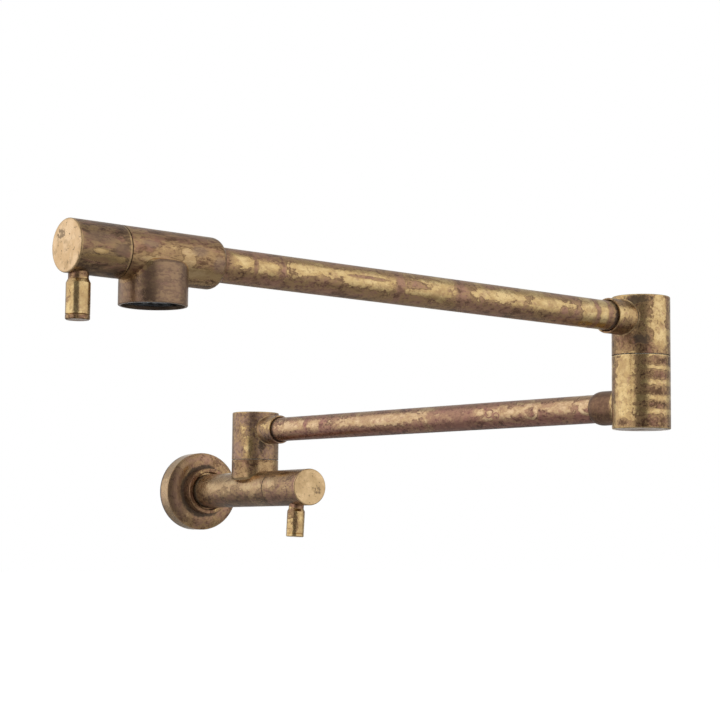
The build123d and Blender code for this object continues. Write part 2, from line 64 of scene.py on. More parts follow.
# ---------------------------------------------------------------- named options
class Slot(Enum):
    """Material slots of the record that the scene looks up."""

    AGED_BRASS = "aged_brass"
    INNER_BRASS = "inner_brass"
    STEEL = "spring_steel"
    RUBBER = "sealing_rubber"
    CERAMIC = "ceramic"
    BEARING = "bearing_plastic"
    GRID = "grid_plastic"


class Body(Enum):
    """Moving bodies that carry fine pieces."""

    WALL_VALVE = "wall_valve"
    LOWER_ARM = "lower_arm"
    UPPER_ARM = "upper_arm"


# ---------------------------------------------------------------- shader writing
class Graph:
    """A node tree that is written as expressions on its sockets."""

    def __init__(self, tree: Tree) -> None:
        """Keeps the tree.

        Args:
            tree: Node tree of a material, a world or a group.
        """
        self.tree = tree

    def put(self, socket: Socket, value: Value | Colour | Vector) -> None:
        """Links a socket to another one, or sets its number or colour.

        Args:
            socket: Input to feed.
            value: Output socket, number, colour or vector.
        """
        if isinstance(value, Socket):
            self.tree.links.new(value, socket)
        elif socket.type == "RGBA":
            socket.default_value = (*value, 1.0)
        else:
            socket.default_value = value

    def add(self, kind: str, inputs: dict[str | int, object] | None = None, **settings: object) -> Node:
        """Adds a node.

        Args:
            kind: Blender's name of the node type.
            inputs: Values or sockets by input name or number.
            settings: Properties of the node itself.

        Returns:
            The new node.
        """
        node = self.tree.nodes.new(kind)
        for name, value in settings.items():
            setattr(node, name, value)
        for name, value in (inputs or {}).items():
            self.put(node.inputs[name], value)
        return node

    def math(self, operation: str, first: Value, second: Value = 0.0, third: Value = 0.0) -> Socket:
        """Result of a Math node."""
        node = self.add("ShaderNodeMath", {0: first, 1: second, 2: third}, operation=operation)
        return node.outputs[0]

    def scaled(self, value: Value, factor: Value, offset: Value) -> Socket:
        """Value times a factor, plus an offset."""
        return self.math("MULTIPLY_ADD", value, factor, offset)

    def minus(self, first: Value, second: Value) -> Socket:
        """Difference of two values."""
        return self.math("SUBTRACT", first, second)

    def gap(self, value: Value, place: Value) -> Socket:
        """Distance of a value from a place on either side."""
        return self.math("ABSOLUTE", self.minus(value, place))

    def length(self, first: Value, second: Value) -> Socket:
        """Length of a way with two square parts."""
        return self.math("SQRT", self.scaled(first, first, self.both(second, second)))

    def line(
        self, value: Value, low: Value, high: Value, start: Value = 0.0, end: Value = 1.0,
        **settings: object
    ) -> Socket:
        """Straight mapping of a range to another, held at its ends."""
        inputs = {"Value": value, "From Min": low, "From Max": high, "To Min": start, "To Max": end}
        return self.add("ShaderNodeMapRange", inputs, **settings).outputs["Result"]

    def ramp(self, value: Value, low: float, high: float, start: float = 0.0, end: float = 1.0) -> Socket:
        """Smooth step from start to end as the value goes from low to high."""
        return self.line(value, low, high, start, end, interpolation_type="SMOOTHSTEP")

    def near(self, value: Value, place: Value, width: float) -> Socket:
        """Mask that is one at a place and fades to nothing a width away."""
        return self.ramp(self.gap(value, place), width * 0.35, width, 1.0, 0.0)

    def both(self, first: Value, second: Value) -> Socket:
        """Product of two masks."""
        return self.math("MULTIPLY", first, second)

    def either(self, first: Value, second: Value) -> Socket:
        """Greater of two masks."""
        return self.math("MAXIMUM", first, second)

    def colour(self, factor: Value, first: Value | Colour, second: Value | Colour) -> Socket:
        """Mix of two colours."""
        node = self.add("ShaderNodeMix", data_type="RGBA", blend_type="MIX")
        self.put(node.inputs[0], factor)
        self.put(node.inputs[6], first)
        self.put(node.inputs[7], second)
        return node.outputs[2]

    def noise(
        self, vector: Socket, scale: Value, detail: float = 3.0, rough: float = 0.5, twist: float = 0.0
    ) -> Socket:
        """Value of a Noise Texture."""
        inputs = {
            "Vector": vector, "Scale": scale, "Detail": detail, "Roughness": rough, "Distortion": twist
        }
        return self.add("ShaderNodeTexNoise", inputs).outputs[0]

    def shift(self, vector: Socket, offset: Colour, scale: Colour = (1.0, 1.0, 1.0)) -> Socket:
        """Vector that is moved and stretched."""
        inputs = {"Vector": vector, "Location": offset, "Scale": scale}
        return self.add("ShaderNodeMapping", inputs).outputs["Vector"]

    def use(self, group: Tree, inputs: dict[str, object]) -> Node:
        """Places a node group with its own values."""
        node = self.add("ShaderNodeGroup", node_tree=group)
        for name, value in inputs.items():
            self.put(node.inputs[name], value)
        return node


class EffectGroup:
    """A shader node group that is built once and used by many finishes."""

    title = ""
    inputs: dict[str, tuple[str, object]] = {}
    outputs: dict[str, str] = {}

    @classmethod
    def tree(cls) -> Tree:
        """Finds the group, or builds it at its first use.

        Returns:
            The group's node tree.
        """
        if cls.title in bpy.data.node_groups:
            return bpy.data.node_groups[cls.title]
        tree = bpy.data.node_groups.new(cls.title, "ShaderNodeTree")
        for name, (kind, value) in cls.inputs.items():
            socket = tree.interface.new_socket(name, in_out="INPUT", socket_type=kind)
            if value is not None:
                socket.default_value = value
        for name, kind in cls.outputs.items():
            tree.interface.new_socket(name, in_out="OUTPUT", socket_type=kind)
        graph = Graph(tree)
        source = graph.add("NodeGroupInput").outputs
        results = cls.build(graph, source)
        graph.add("NodeGroupOutput", results)
        return tree

    @classmethod
    def build(cls, graph: Graph, source: Sockets) -> dict[str, Socket]:
        """Writes the group's inside.

        Args:
            graph: Tree to write in.
            source: Sockets of the group's inputs.

        Returns:
            Sockets for the group's outputs by name.
        """
        raise NotImplementedError


FLOAT, VECTOR, COLOUR = "NodeSocketFloat", "NodeSocketVector", "NodeSocketColor"


class RoundCoordinates(EffectGroup):
    """Distance along a round piece, distance round its surface and lift, from its own millimetres."""

    title = "Round Coordinates"
    inputs = {"Vector": (VECTOR, None), "Radius": (FLOAT, 7.0), "Rise": (FLOAT, 1.0)}
    outputs = {"Along": FLOAT, "Around": FLOAT, "Lift": FLOAT, "Radial": FLOAT, "Side": FLOAT}

    @classmethod
    def build(cls, graph: Graph, source: Sockets) -> dict[str, Socket]:
        """Writes the group's inside; see EffectGroup.build."""
        parts = graph.add("ShaderNodeSeparateXYZ", {"Vector": source["Vector"]}).outputs
        side = graph.both(parts["Z"], source["Rise"])
        angle = graph.math("ARCTAN2", side, parts["Y"])
        radial = graph.length(parts["Y"], side)
        lift = graph.math("DIVIDE", side, graph.either(radial, 0.01))
        around = graph.both(angle, source["Radius"])
        return {"Along": parts["X"], "Around": around, "Lift": lift, "Radial": radial, "Side": parts["Y"]}


class OvalDepth(EffectGroup):
    """Depth inside an oval mark: one at its centre, zero on its border and below zero outside."""

    title = "Oval Depth"
    inputs = {
        "Along": (FLOAT, 0.0),
        "Around": (FLOAT, 0.0),
        "Centre Along": (FLOAT, 0.0),
        "Centre Around": (FLOAT, 0.0),
        "Half Length": (FLOAT, 5.0),
        "Half Width": (FLOAT, 3.0),
    }
    outputs = {"Depth": FLOAT}

    @classmethod
    def build(cls, graph: Graph, source: Sockets) -> dict[str, Socket]:
        """Writes the group's inside; see EffectGroup.build."""
        length, width = (
            graph.math("DIVIDE", graph.minus(source[way], source[f"Centre {way}"]), source[half])
            for way, half in (("Along", "Half Length"), ("Around", "Half Width"))
        )
        return {"Depth": graph.either(graph.minus(1.0, graph.length(length, width)), -1.0)}


class FineGrain(EffectGroup):
    """Small scratches and pits that every handled surface has."""

    title = "Fine Grain"
    inputs = {"Vector": (VECTOR, None), "Scale": (FLOAT, 1.0)}
    outputs = {"Scratches": FLOAT, "Pits": FLOAT, "Clouds": FLOAT}

    @classmethod
    def build(cls, graph: Graph, source: Sockets) -> dict[str, Socket]:
        """Writes the group's inside; see EffectGroup.build."""
        brushed = graph.shift(source["Vector"], (3.0, 0.0, 0.0), (6.0, 0.35, 0.35))
        scratches = graph.noise(brushed, source["Scale"], 3.0, 0.6)
        pits = graph.noise(source["Vector"], graph.both(source["Scale"], 2.2), 2.0, 0.6)
        clouds = graph.noise(source["Vector"], graph.both(source["Scale"], 0.22), 4.0, 0.6, 0.4)
        return {"Scratches": scratches, "Pits": graph.ramp(pits, 0.66, 0.76), "Clouds": clouds}


class Patina(EffectGroup):
    """Old brass: worn golden patches with ragged borders over brown, rosy and blackened tarnish, plus painted
    highlights and painted shade.
    """

    title = "Patina"
    inputs = {
        "Vector": (VECTOR, None),
        "Rubbed And Highlit": (FLOAT, -1.0),
        "Stained And Shaded": (FLOAT, -1.0),
        "Soot And Shade": (FLOAT, -1.0),
        "Coverage": (FLOAT, 0.5),
        "Rose Share": (FLOAT, 0.3),
        "Patch Size": (FLOAT, 1.0),
        "Gold": (COLOUR, None),
        "Pale Gold": (COLOUR, None),
        "Worn Gold": (COLOUR, None),
        "Tarnish": (COLOUR, None),
        "Dark Tarnish": (COLOUR, None),
        "Rose": (COLOUR, None),
    }
    outputs = {"Colour": COLOUR, "Roughness": FLOAT, "Metallic": FLOAT, "Height": FLOAT}

    soot_and_shade_black: Colour = (0.030, 0.020, 0.013)

    @classmethod
    def build(cls, graph: Graph, source: Sockets) -> dict[str, Socket]:
        """Writes the group's inside; see EffectGroup.build."""
        vector, size = source["Vector"], source["Patch Size"]
        gold, pale, worn = source["Gold"], source["Pale Gold"], source["Worn Gold"]
        dark, rose = source["Dark Tarnish"], source["Rose"]

        # Patterns, each from its own stretch of noise.
        wide = graph.noise(vector, graph.both(size, 0.075), 4.0, 0.55, 0.9)
        ragged = graph.noise(vector, graph.both(size, 0.40), 4.0, 0.62, 0.4)
        fine = graph.noise(vector, 1.25, 4.0, 0.65)
        clouds = graph.noise(graph.shift(vector, (11.0, 5.0, 2.0)), 0.13, 3.0, 0.6, 0.5)
        rosy = graph.noise(graph.shift(vector, (-8.0, 9.0, 4.0)), 0.07, 3.0, 0.55, 0.6)
        flakes = graph.noise(graph.shift(vector, (2.0, 2.0, 6.0)), graph.both(size, 0.55), 4.0, 0.65)
        blotch = graph.noise(graph.shift(vector, (7.0, -3.0, 1.0)), graph.both(size, 0.26), 5.0, 0.68, 0.6)
        sparks = graph.noise(graph.shift(vector, (5.0, 1.0, 8.0)), 1.6, 2.0, 0.7)
        uneven = graph.minus(ragged, 0.5)
        tone = graph.scaled(fine, 0.40, graph.scaled(clouds, 0.55, graph.both(ragged, 0.35)))

        # Depth inside the worn patches and painted highlights, above zero where the metal is bare.
        opened = graph.minus(wide, graph.line(source["Coverage"], 0.0, 1.0, 0.74, 0.30))
        depth = graph.scaled(uneven, 0.42, graph.either(opened, graph.both(source["Rubbed And Highlit"], 0.25)))
        # Stains, and the marks that are painted shade, pull the depth down.
        covered = graph.scaled(uneven, 0.36, graph.both(source["Stained And Shaded"], -0.30))
        depth = graph.math("MINIMUM", depth, covered)
        crisp = graph.ramp(depth, -0.012, 0.030)

        # Brown film with rosy zones, flakes, blotches and half rubbed flecks.
        film = graph.colour(graph.ramp(tone, 0.46, 0.84), dark, source["Tarnish"])
        rosy = graph.ramp(graph.math("ADD", rosy, source["Rose Share"]), 0.62, 0.98)
        film = graph.colour(graph.both(rosy, graph.ramp(tone, 0.42, 0.74, 0.45, 1.0)), film, rose)
        flecks = graph.scaled(depth, 1.0, graph.scaled(flakes, 0.35, graph.both(fine, 0.65)))
        for pattern, none, full, share, tint in (
            (flakes, 0.53, 0.62, 0.62, worn),
            (flakes, 0.47, 0.38, 0.62, dark),
            (blotch, 0.52, 0.60, 0.50, rose),
            (blotch, 0.46, 0.40, 0.45, dark),
            (flecks, 0.34, 0.46, 0.82, worn),
        ):
            film = graph.colour(graph.ramp(pattern, none, full, 0.0, share), film, tint)

        # Bare metal, paler deep inside worn patches and painted highlights.
        shine = graph.ramp(tone, 0.50, 0.84, -0.15, 0.6)
        shine = graph.math("ADD", graph.ramp(depth, 0.02, 0.22, 0.0, 0.55), shine)
        bright = graph.colour(shine, gold, pale)
        for pattern, none, full, share, tint in (
            (clouds, 0.50, 0.38, 0.45, worn),
            (flakes, 0.52, 0.61, 0.65, worn),
            (blotch, 0.55, 0.63, 0.40, rose),
        ):
            bright = graph.colour(graph.ramp(pattern, none, full, 0.0, share), bright, tint)

        # Both together, with dark borders, bright sparks, and near black marks that are dark seams or painted
        # shade.
        mixed = graph.colour(crisp, film, bright)
        tide = graph.both(graph.near(depth, -0.020, 0.030), graph.ramp(clouds, 0.44, 0.60))
        mixed = graph.colour(graph.both(tide, 0.6), mixed, dark)
        mixed = graph.colour(graph.both(graph.ramp(sparks, 0.68, 0.74), 0.4), mixed, pale)
        soot = graph.ramp(graph.scaled(uneven, 2.4, source["Soot And Shade"]), 0.0, 0.6, 0.0, 0.85)
        mixed = graph.colour(soot, mixed, cls.soot_and_shade_black)
        rough = graph.line(crisp, 0.0, 1.0, 0.30, 0.21)
        rough = graph.scaled(graph.minus(tone, 0.65), 0.30, rough)
        rough = graph.scaled(soot, 0.25, rough)
        metal = graph.line(crisp, 0.0, 1.0, 0.90, 1.0)
        metal = graph.both(metal, graph.line(soot, 0.0, 1.0, 1.0, 0.4))
        height = graph.scaled(fine, 0.3, graph.line(crisp, 0.0, 1.0, 0.5, 0.0))
        return {"Colour": mixed, "Roughness": rough, "Metallic": metal, "Height": height}


# ---------------------------------------------------------------- places on the tap
@dataclass(frozen=True)
class Frame:
    """Own frame of a round piece: X along its axis, Y towards its front."""

    origin: Vector
    axis: Vector
    front: Vector

    def euler(self) -> Euler:
        """Rotation of the frame."""
        along = self.axis.normalized()
        side = along.cross(self.front).normalized()
        face = side.cross(along)
        return Matrix((along, face, side)).transposed().to_euler("XYZ")

    def rise(self) -> float:
        """One where the frame's third axis points up or lies level, and minus one where it hangs down."""
        return -1.0 if self.axis.cross(self.front).z < -0.5 else 1.0


class Places:
    """Axes and centres of the tap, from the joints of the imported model."""

    def __init__(self, joints: list[dict]) -> None:
        """Reads the joints.

        Args:
            joints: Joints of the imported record.
        """
        found = {joint["name"]: joint for joint in joints}
        self.shoulder = Vector(found["shoulder_swivel"]["pos_m"])
        self.elbow = Vector(found["elbow_swivel"]["pos_m"])
        self.spout = Vector(found["outlet_valve_turn"]["pos_m"])
        self.spout_axis = Vector(found["outlet_valve_turn"]["axis"]).normalized()
        self.wall_axis = Vector(found["wall_valve_turn"]["axis"]).normalized()
        across = self.elbow - self.shoulder
        self.lower_axis = Vector((across.x, across.y, 0.0)).normalized()
        lower_height, upper_height = (
            (low.z + high.z) / 2 for low, high in (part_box("lower_arm_tube"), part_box("upper_arm_tube"))
        )
        self.lower_start = Vector((self.shoulder.x, self.shoulder.y, lower_height))
        self.lower_end = Vector((self.elbow.x, self.elbow.y, lower_height))
        self.upper_start = Vector((self.elbow.x, self.elbow.y, upper_height))


# ---------------------------------------------------------------- marks on old brass
@dataclass(frozen=True)
class Spot:
    """Oval of wear, tarnish, painted highlight or painted shade, in millimetres along and round its piece."""

    along: float
    around: float
    half_length: float
    half_width: float

    def depth(self, graph: Graph, coordinates: Sockets, wobble: Value) -> Socket:
        """Writes how deep a point lies inside the mark: one at its centre, below zero outside.

        Args:
            graph: Tree to write in.
            coordinates: The piece's round coordinates.
            wobble: Small noise that bends the mark.

        Returns:
            Socket of the depth.
        """
        inputs = {
            "Along": graph.scaled(wobble, 2.0, coordinates["Along"]),
            "Around": graph.scaled(wobble, -1.6, coordinates["Around"]),
            "Centre Along": self.along,
            "Centre Around": self.around,
            "Half Length": self.half_length,
            "Half Width": self.half_width,
        }
        return graph.use(OvalDepth.tree(), inputs).outputs["Depth"]


@dataclass(frozen=True)
class Ringlet:
    """Oval outline left by a dried drop."""

    oval: Spot
    border: float = 0.4

    def depth(self, graph: Graph, coordinates: Sockets, wobble: Value) -> Socket:
        """Writes how deep a point lies inside the outline; see Spot.depth."""
        inside = self.oval.depth(graph, coordinates, wobble)
        half = self.border / 2
        return graph.minus(1.0, graph.math("DIVIDE", graph.gap(inside, half), half))


@dataclass(frozen=True)
class Band:
    """Ring round a piece at one place along it, with a wavy border."""

    along: float
    width: float
    wave: float = 1.0

    def depth(self, graph: Graph, coordinates: Sockets, wobble: Value) -> Socket:
        """Writes how deep a point lies inside the ring; see Spot.depth."""
        moved = graph.scaled(wobble, self.wave * 2.0, coordinates["Along"])
        away = graph.math("DIVIDE", graph.gap(moved, self.along), self.width)
        return graph.either(graph.minus(1.0, away), -1.0)


@dataclass(frozen=True)
class Reach:
    """Change from the inner part of a piece to its outer part, such as a side branch of a column."""

    start: float
    end: float
    inner: float
    outer: float

    def depth(self, graph: Graph, coordinates: Sockets, wobble: Value) -> Socket:
        """Writes the depth by the distance from the axis; see Spot.depth."""
        out = graph.scaled(wobble, 1.5, coordinates["Radial"])
        return graph.ramp(out, self.start, self.end, self.inner, self.outer)


@dataclass(frozen=True)
class Bore:
    """Inside of an upright hollow under a level piece."""

    along: float
    radius: float
    below: float

    def depth(self, graph: Graph, coordinates: Sockets, wobble: Value) -> Socket:
        """Writes the depth inside the hollow, which starts that far under the axis; see Spot.depth."""
        moved = graph.minus(coordinates["Along"], self.along)
        away = graph.length(moved, coordinates["Side"])
        inside = graph.ramp(away, self.radius + 0.05, self.radius - 0.25, -1.0, 1.0)
        under = graph.ramp(coordinates["Radial"], self.below, self.below + 1.0, -1.0, 1.0)
        return graph.math("MINIMUM", inside, under)


Mark = Spot | Ringlet | Band | Reach | Bore


# ---------------------------------------------------------------- finishes
def new_material(name: str) -> tuple[Material, Graph, Node]:
    """Makes a material with its shader.

    Args:
        name: Material name.

    Returns:
        The material, its graph and its Principled BSDF.
    """
    material = bpy.data.materials.new(name)
    material.use_nodes = True
    graph = Graph(material.node_tree)
    return material, graph, material.node_tree.nodes["Principled BSDF"]


def own_millimetres(graph: Graph, place: Frame | None = None) -> Socket:
    """Writes the piece's own coordinates in millimetres.

    Args:
        graph: Tree to write in.
        place: Frame of the piece, or the tap's own frame.

    Returns:
        Socket of the vector.
    """
    coordinates = graph.add("ShaderNodeTexCoord").outputs["Object"]
    node = graph.add("ShaderNodeMapping", {"Vector": coordinates}, vector_type="TEXTURE")
    if place is not None:
        node.inputs["Location"].default_value = place.origin
        node.inputs["Rotation"].default_value = place.euler()
    node.inputs["Scale"].default_value = (MM, MM, MM)
    return node.outputs["Vector"]


SEED_STEP = Vector((31.0, 17.0, 7.0))


@dataclass(frozen=True)
class AgedBrass:
    """Unlacquered brass that has been handled for years.

    Attributes:
        name: Name of the material.
        place: Frame of the piece, in which its marks lie.
        radius: Radius on which the marks are measured, in millimetres.
        seed: Number that shifts the pattern.
        coverage: Share of bare gold.
        rose: Share of rosy film.
        patch_size: Fineness of the patches.
        stretch: Scale of the pattern along the piece.
        underside_shade: Gold that its underside lacks, a painted shade that keeps undersides darker.
        rubbed: Marks that are worn to bare gold, some of them painted highlights.
        stained: Marks that are tarnished, some of them painted shade.
        soot: Marks that are nearly black, some of them painted shade.
        worn_rims_and_highlights: Edges that are worn pale, which also stand for painted edge highlights.
        veiled_and_shaded: Marks under a uniform film, which on the flange is a painted reflection.
        veil_and_shade: Colour of that film.
        veil_and_shade_share: How much of the colour below it hides.
        face: Place of its worn flat end along the axis, if it has one.
        face_light: Bright colour of that end.
        face_shade: Darker colour of that end.
        specks: Middle of the dark specks on that end.
        speck_tint: Colour of those specks.
        gold: Colour of the bare metal.
        pale: Colour of its brightest spots.
        worn: Colour of half bare metal.
        tarnish: Colour of the tarnish.
        dark: Colour of the deepest tarnish.
        rose_tint: Colour of the rosy film.
    """

    name: str
    place: Frame
    radius: float
    seed: float
    coverage: float
    rose: float
    patch_size: float = 1.0
    stretch: float = 1.0
    underside_shade: float = 0.0
    rubbed: tuple[Mark, ...] = ()
    stained: tuple[Mark, ...] = ()
    soot: tuple[Mark, ...] = ()
    worn_rims_and_highlights: tuple[Band, ...] = ()
    veiled_and_shaded: tuple[Mark, ...] = ()
    veil_and_shade: Colour = (0.285, 0.180, 0.112)
    veil_and_shade_share: float = 0.62
    face: float | None = None
    face_light: Colour = (0.83, 0.60, 0.375)
    face_shade: Colour = (0.70, 0.475, 0.262)
    specks: tuple[float, float] = (0.0, 0.0)
    speck_tint: Colour = (0.125, 0.082, 0.054)
    gold: Colour = (0.60, 0.412, 0.188)
    pale: Colour = (0.81, 0.612, 0.312)
    worn: Colour = (0.430, 0.280, 0.140)
    tarnish: Colour = (0.325, 0.196, 0.106)
    dark: Colour = (0.112, 0.061, 0.033)
    rose_tint: Colour = (0.370, 0.195, 0.138)

    def joined(self, graph: Graph, marks: tuple[Mark, ...], coordinates: Sockets, wobble: Value) -> Value:
        """Joins the depths of some marks.

        Args:
            graph: Tree to write in.
            marks: Marks to join.
            coordinates: The piece's round coordinates.
            wobble: Small noise for the borders.

        Returns:
            Socket of the greatest depth, or the number for nowhere.
        """
        depth: Value = -1.0
        for mark in marks:
            depth = graph.either(depth, mark.depth(graph, coordinates, wobble))
        return depth

    def build(self) -> Material:
        """Builds the material.

        Returns:
            The material.
        """
        material, graph, shader = new_material(self.name)
        vector = own_millimetres(graph, self.place)
        measures = {"Vector": vector, "Radius": self.radius, "Rise": self.place.rise()}
        coordinates = graph.use(RoundCoordinates.tree(), measures).outputs
        moved = graph.shift(vector, self.seed * SEED_STEP, (self.stretch, 1.0, 1.0))
        wobble = graph.minus(graph.noise(moved, 0.28, 4.0, 0.6, 0.5), 0.5)
        # Painted shade: the underside gets less bare gold, so it stays darker.
        underside_shade_offset = graph.ramp(coordinates["Lift"], -0.75, 0.15, -self.underside_shade, 0.0)
        soot_and_shade_depth = self.joined(graph, self.soot, coordinates, wobble)
        inputs = {
            "Vector": moved,
            "Rubbed And Highlit": self.joined(graph, self.rubbed, coordinates, wobble),
            "Stained And Shaded": self.joined(graph, self.stained, coordinates, wobble),
            "Soot And Shade": soot_and_shade_depth,
            "Coverage": graph.math("ADD", underside_shade_offset, self.coverage),
            "Rose Share": self.rose,
            "Patch Size": self.patch_size,
            "Gold": self.gold,
            "Pale Gold": self.pale,
            "Worn Gold": self.worn,
            "Tarnish": self.tarnish,
            "Dark Tarnish": self.dark,
            "Rose": self.rose_tint,
        }
        patina = graph.use(Patina.tree(), inputs).outputs
        colour, rough, metal = patina["Colour"], patina["Roughness"], patina["Metallic"]
        # A uniform film over some marks; on the flange it is a painted reflection.
        if self.veiled_and_shaded:
            veiled_and_shaded = self.joined(graph, self.veiled_and_shaded, coordinates, wobble)
            veil_and_shade_mask = graph.ramp(veiled_and_shaded, -0.1, 0.5, 0.0, self.veil_and_shade_share)
            veil_and_shade_mask = graph.both(veil_and_shade_mask, graph.ramp(soot_and_shade_depth, 0.0, 0.4, 1.0, 0.0))
            colour = graph.colour(veil_and_shade_mask, colour, self.veil_and_shade)
        if self.face is not None:
            colour, rough, metal = self.end_face(graph, vector, coordinates, colour, rough, metal)
        # Pale rims, from worn edges and from painted highlights along edges and seams.
        if self.worn_rims_and_highlights:
            rim_and_highlight_mask = graph.ramp(self.joined(graph, self.worn_rims_and_highlights, coordinates, 0.0), 0.0, 0.5)
            colour = graph.colour(graph.both(rim_and_highlight_mask, 0.38), colour, self.pale)
            rough = graph.scaled(rim_and_highlight_mask, -0.1, rough)
        grain = graph.use(FineGrain.tree(), {"Vector": vector, "Scale": 1.4}).outputs
        height = graph.scaled(grain["Scratches"], 0.35, patina["Height"])
        bump = graph.add("ShaderNodeBump", {"Strength": 0.25, "Distance": 0.0001, "Height": height})
        wavy = {"Strength": 0.3, "Distance": 0.0004, "Height": grain["Clouds"], "Normal": bump.outputs[0]}
        swell = graph.add("ShaderNodeBump", wavy)
        graph.put(shader.inputs["Base Color"], colour)
        graph.put(shader.inputs["Roughness"], rough)
        graph.put(shader.inputs["Metallic"], metal)
        graph.put(shader.inputs["Normal"], swell.outputs[0])
        return material

    def end_face(
        self, graph: Graph, vector: Socket, coordinates: Sockets, colour: Socket, rough: Socket, metal: Socket
    ) -> tuple[Socket, Socket, Socket]:
        """Adds the worn flat end of a handle, with its dark specks.

        Args:
            graph: Tree to write in.
            vector: Own millimetres of the piece.
            coordinates: The piece's round coordinates.
            colour: Colour of the barrel.
            rough: Roughness of the barrel.
            metal: Metallic value of the barrel.

        Returns:
            Colour, roughness and metallic value with the face.
        """
        on_face = graph.ramp(coordinates["Along"], self.face - 0.35, self.face - 0.2)
        clouds = graph.noise(vector, 0.16, 4.0, 0.6, 0.8)
        tint = graph.colour(graph.ramp(clouds, 0.36, 0.64), self.face_light, self.face_shade)
        blush = graph.noise(graph.shift(vector, (3.0, self.seed, 7.0)), 0.28, 4.0, 0.65)
        tint = graph.colour(graph.both(graph.ramp(blush, 0.50, 0.66), 0.5), tint, self.worn)
        edge = graph.ramp(coordinates["Radial"], self.radius - 1.1, self.radius - 0.2)
        tint = graph.colour(graph.both(edge, 0.35), tint, self.worn)
        middle = {0: vector, 1: (self.face, *self.specks)}
        away = graph.add("ShaderNodeVectorMath", middle, operation="DISTANCE").outputs["Value"]
        dots = graph.noise(graph.shift(vector, (self.seed, 4.0, 9.0)), 0.60, 4.0, 0.70)
        crowd = graph.ramp(away, 0.8, 3.8, 0.16, 0.0)
        specks = graph.ramp(graph.math("ADD", dots, crowd), 0.60, 0.66)
        tint = graph.colour(graph.both(specks, 0.8), tint, self.speck_tint)
        colour = graph.colour(on_face, colour, tint)
        bare = graph.both(on_face, graph.scaled(clouds, 0.20, 0.24))
        rough = graph.math("ADD", graph.both(rough, graph.minus(1.0, on_face)), bare)
        metal = graph.either(metal, graph.both(on_face, 0.95))
        return colour, rough, metal


@dataclass(frozen=True)
class PlainStuff:
    """Cleaner material: machined brass, steel, rubber, ceramic or plastic."""

    name: str
    light: Colour
    shade: Colour
    metallic: float
    rough: float
    rough_change: float
    grain: float
    bump: float

    def build(self) -> Material:
        """Builds the material.

        Returns:
            The material.
        """
        material, graph, shader = new_material(self.name)
        vector = own_millimetres(graph)
        grain = graph.use(FineGrain.tree(), {"Vector": vector, "Scale": self.grain}).outputs
        colour = graph.colour(graph.ramp(grain["Clouds"], 0.3, 0.7), self.shade, self.light)
        colour = graph.colour(graph.both(grain["Pits"], 0.5), colour, self.shade)
        rough = graph.scaled(graph.minus(grain["Scratches"], 0.5), self.rough_change, self.rough)
        height = graph.scaled(grain["Pits"], -0.6, grain["Scratches"])
        bump = graph.add("ShaderNodeBump", {"Strength": self.bump, "Distance": 0.0001, "Height": height})
        graph.put(shader.inputs["Base Color"], colour)
        graph.put(shader.inputs["Roughness"], rough)
        graph.put(shader.inputs["Normal"], bump.outputs[0])
        shader.inputs["Metallic"].default_value = self.metallic
        return material


def dress(node: str, material: Material) -> None:
    """Gives a CAD node its finish.

    Args:
        node: Name of the CAD node.
        material: Finish for all of its slots.
    """
    piece = frame["nodes"][node]
    for material_slot in piece.material_slots:
        material_slot.material = material
    log.info("%s is dressed in %s", node, material.name)


# ---------------------------------------------------------------- sub-assemblies
@dataclass
class InnerParts:
    """Pieces inside the valves, swivels and aerator."""

    brass: PlainStuff = PlainStuff(
        "machined_brass", (0.80, 0.62, 0.34), (0.58, 0.42, 0.20), 1.0, 0.30, 0.15, 1.2, 0.15
    )
    steel: PlainStuff = PlainStuff(
        "satin_steel", (0.62, 0.61, 0.59), (0.42, 0.41, 0.40), 1.0, 0.33, 0.2, 1.6, 0.15
    )
    rubber: PlainStuff = PlainStuff(
        "seal_rubber", (0.030, 0.030, 0.031), (0.016, 0.016, 0.017), 0.0, 0.62, 0.2, 1.5, 0.3
    )
    ceramic: PlainStuff = PlainStuff(
        "disc_ceramic", (0.86, 0.85, 0.81), (0.74, 0.73, 0.69), 0.0, 0.14, 0.08, 0.8, 0.05
    )
    bearing: PlainStuff = PlainStuff(
        "bearing_plastic", (0.80, 0.79, 0.74), (0.66, 0.65, 0.60), 0.0, 0.42, 0.15, 1.2, 0.12
    )
    grid: PlainStuff = PlainStuff(
        "aerator_plastic", (0.16, 0.17, 0.18), (0.08, 0.085, 0.09), 0.0, 0.36, 0.2, 1.2, 0.2
    )
    ring: PlainStuff = PlainStuff(
        "aerator_nickel", (0.23, 0.24, 0.25), (0.11, 0.115, 0.125), 1.0, 0.30, 0.15, 1.2, 0.15
    )

    def build(self) -> None:
        """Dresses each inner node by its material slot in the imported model."""
        finishes = {
            Slot.INNER_BRASS: self.brass,
            Slot.STEEL: self.steel,
            Slot.RUBBER: self.rubber,
            Slot.CERAMIC: self.ceramic,
            Slot.BEARING: self.bearing,
            Slot.GRID: self.grid,
        }
        made = {slot.value: finish.build() for slot, finish in finishes.items()}
        for node, piece in frame["nodes"].items():
            for material_slot in piece.material_slots:
                base = material_slot.material.name.split(".")[0] if material_slot.material else ""
                if base in made:
                    material_slot.material = made[base]
                    log.info("%s is dressed in %s", node, made[base].name)
        dress("aerator_shell", self.ring.build())


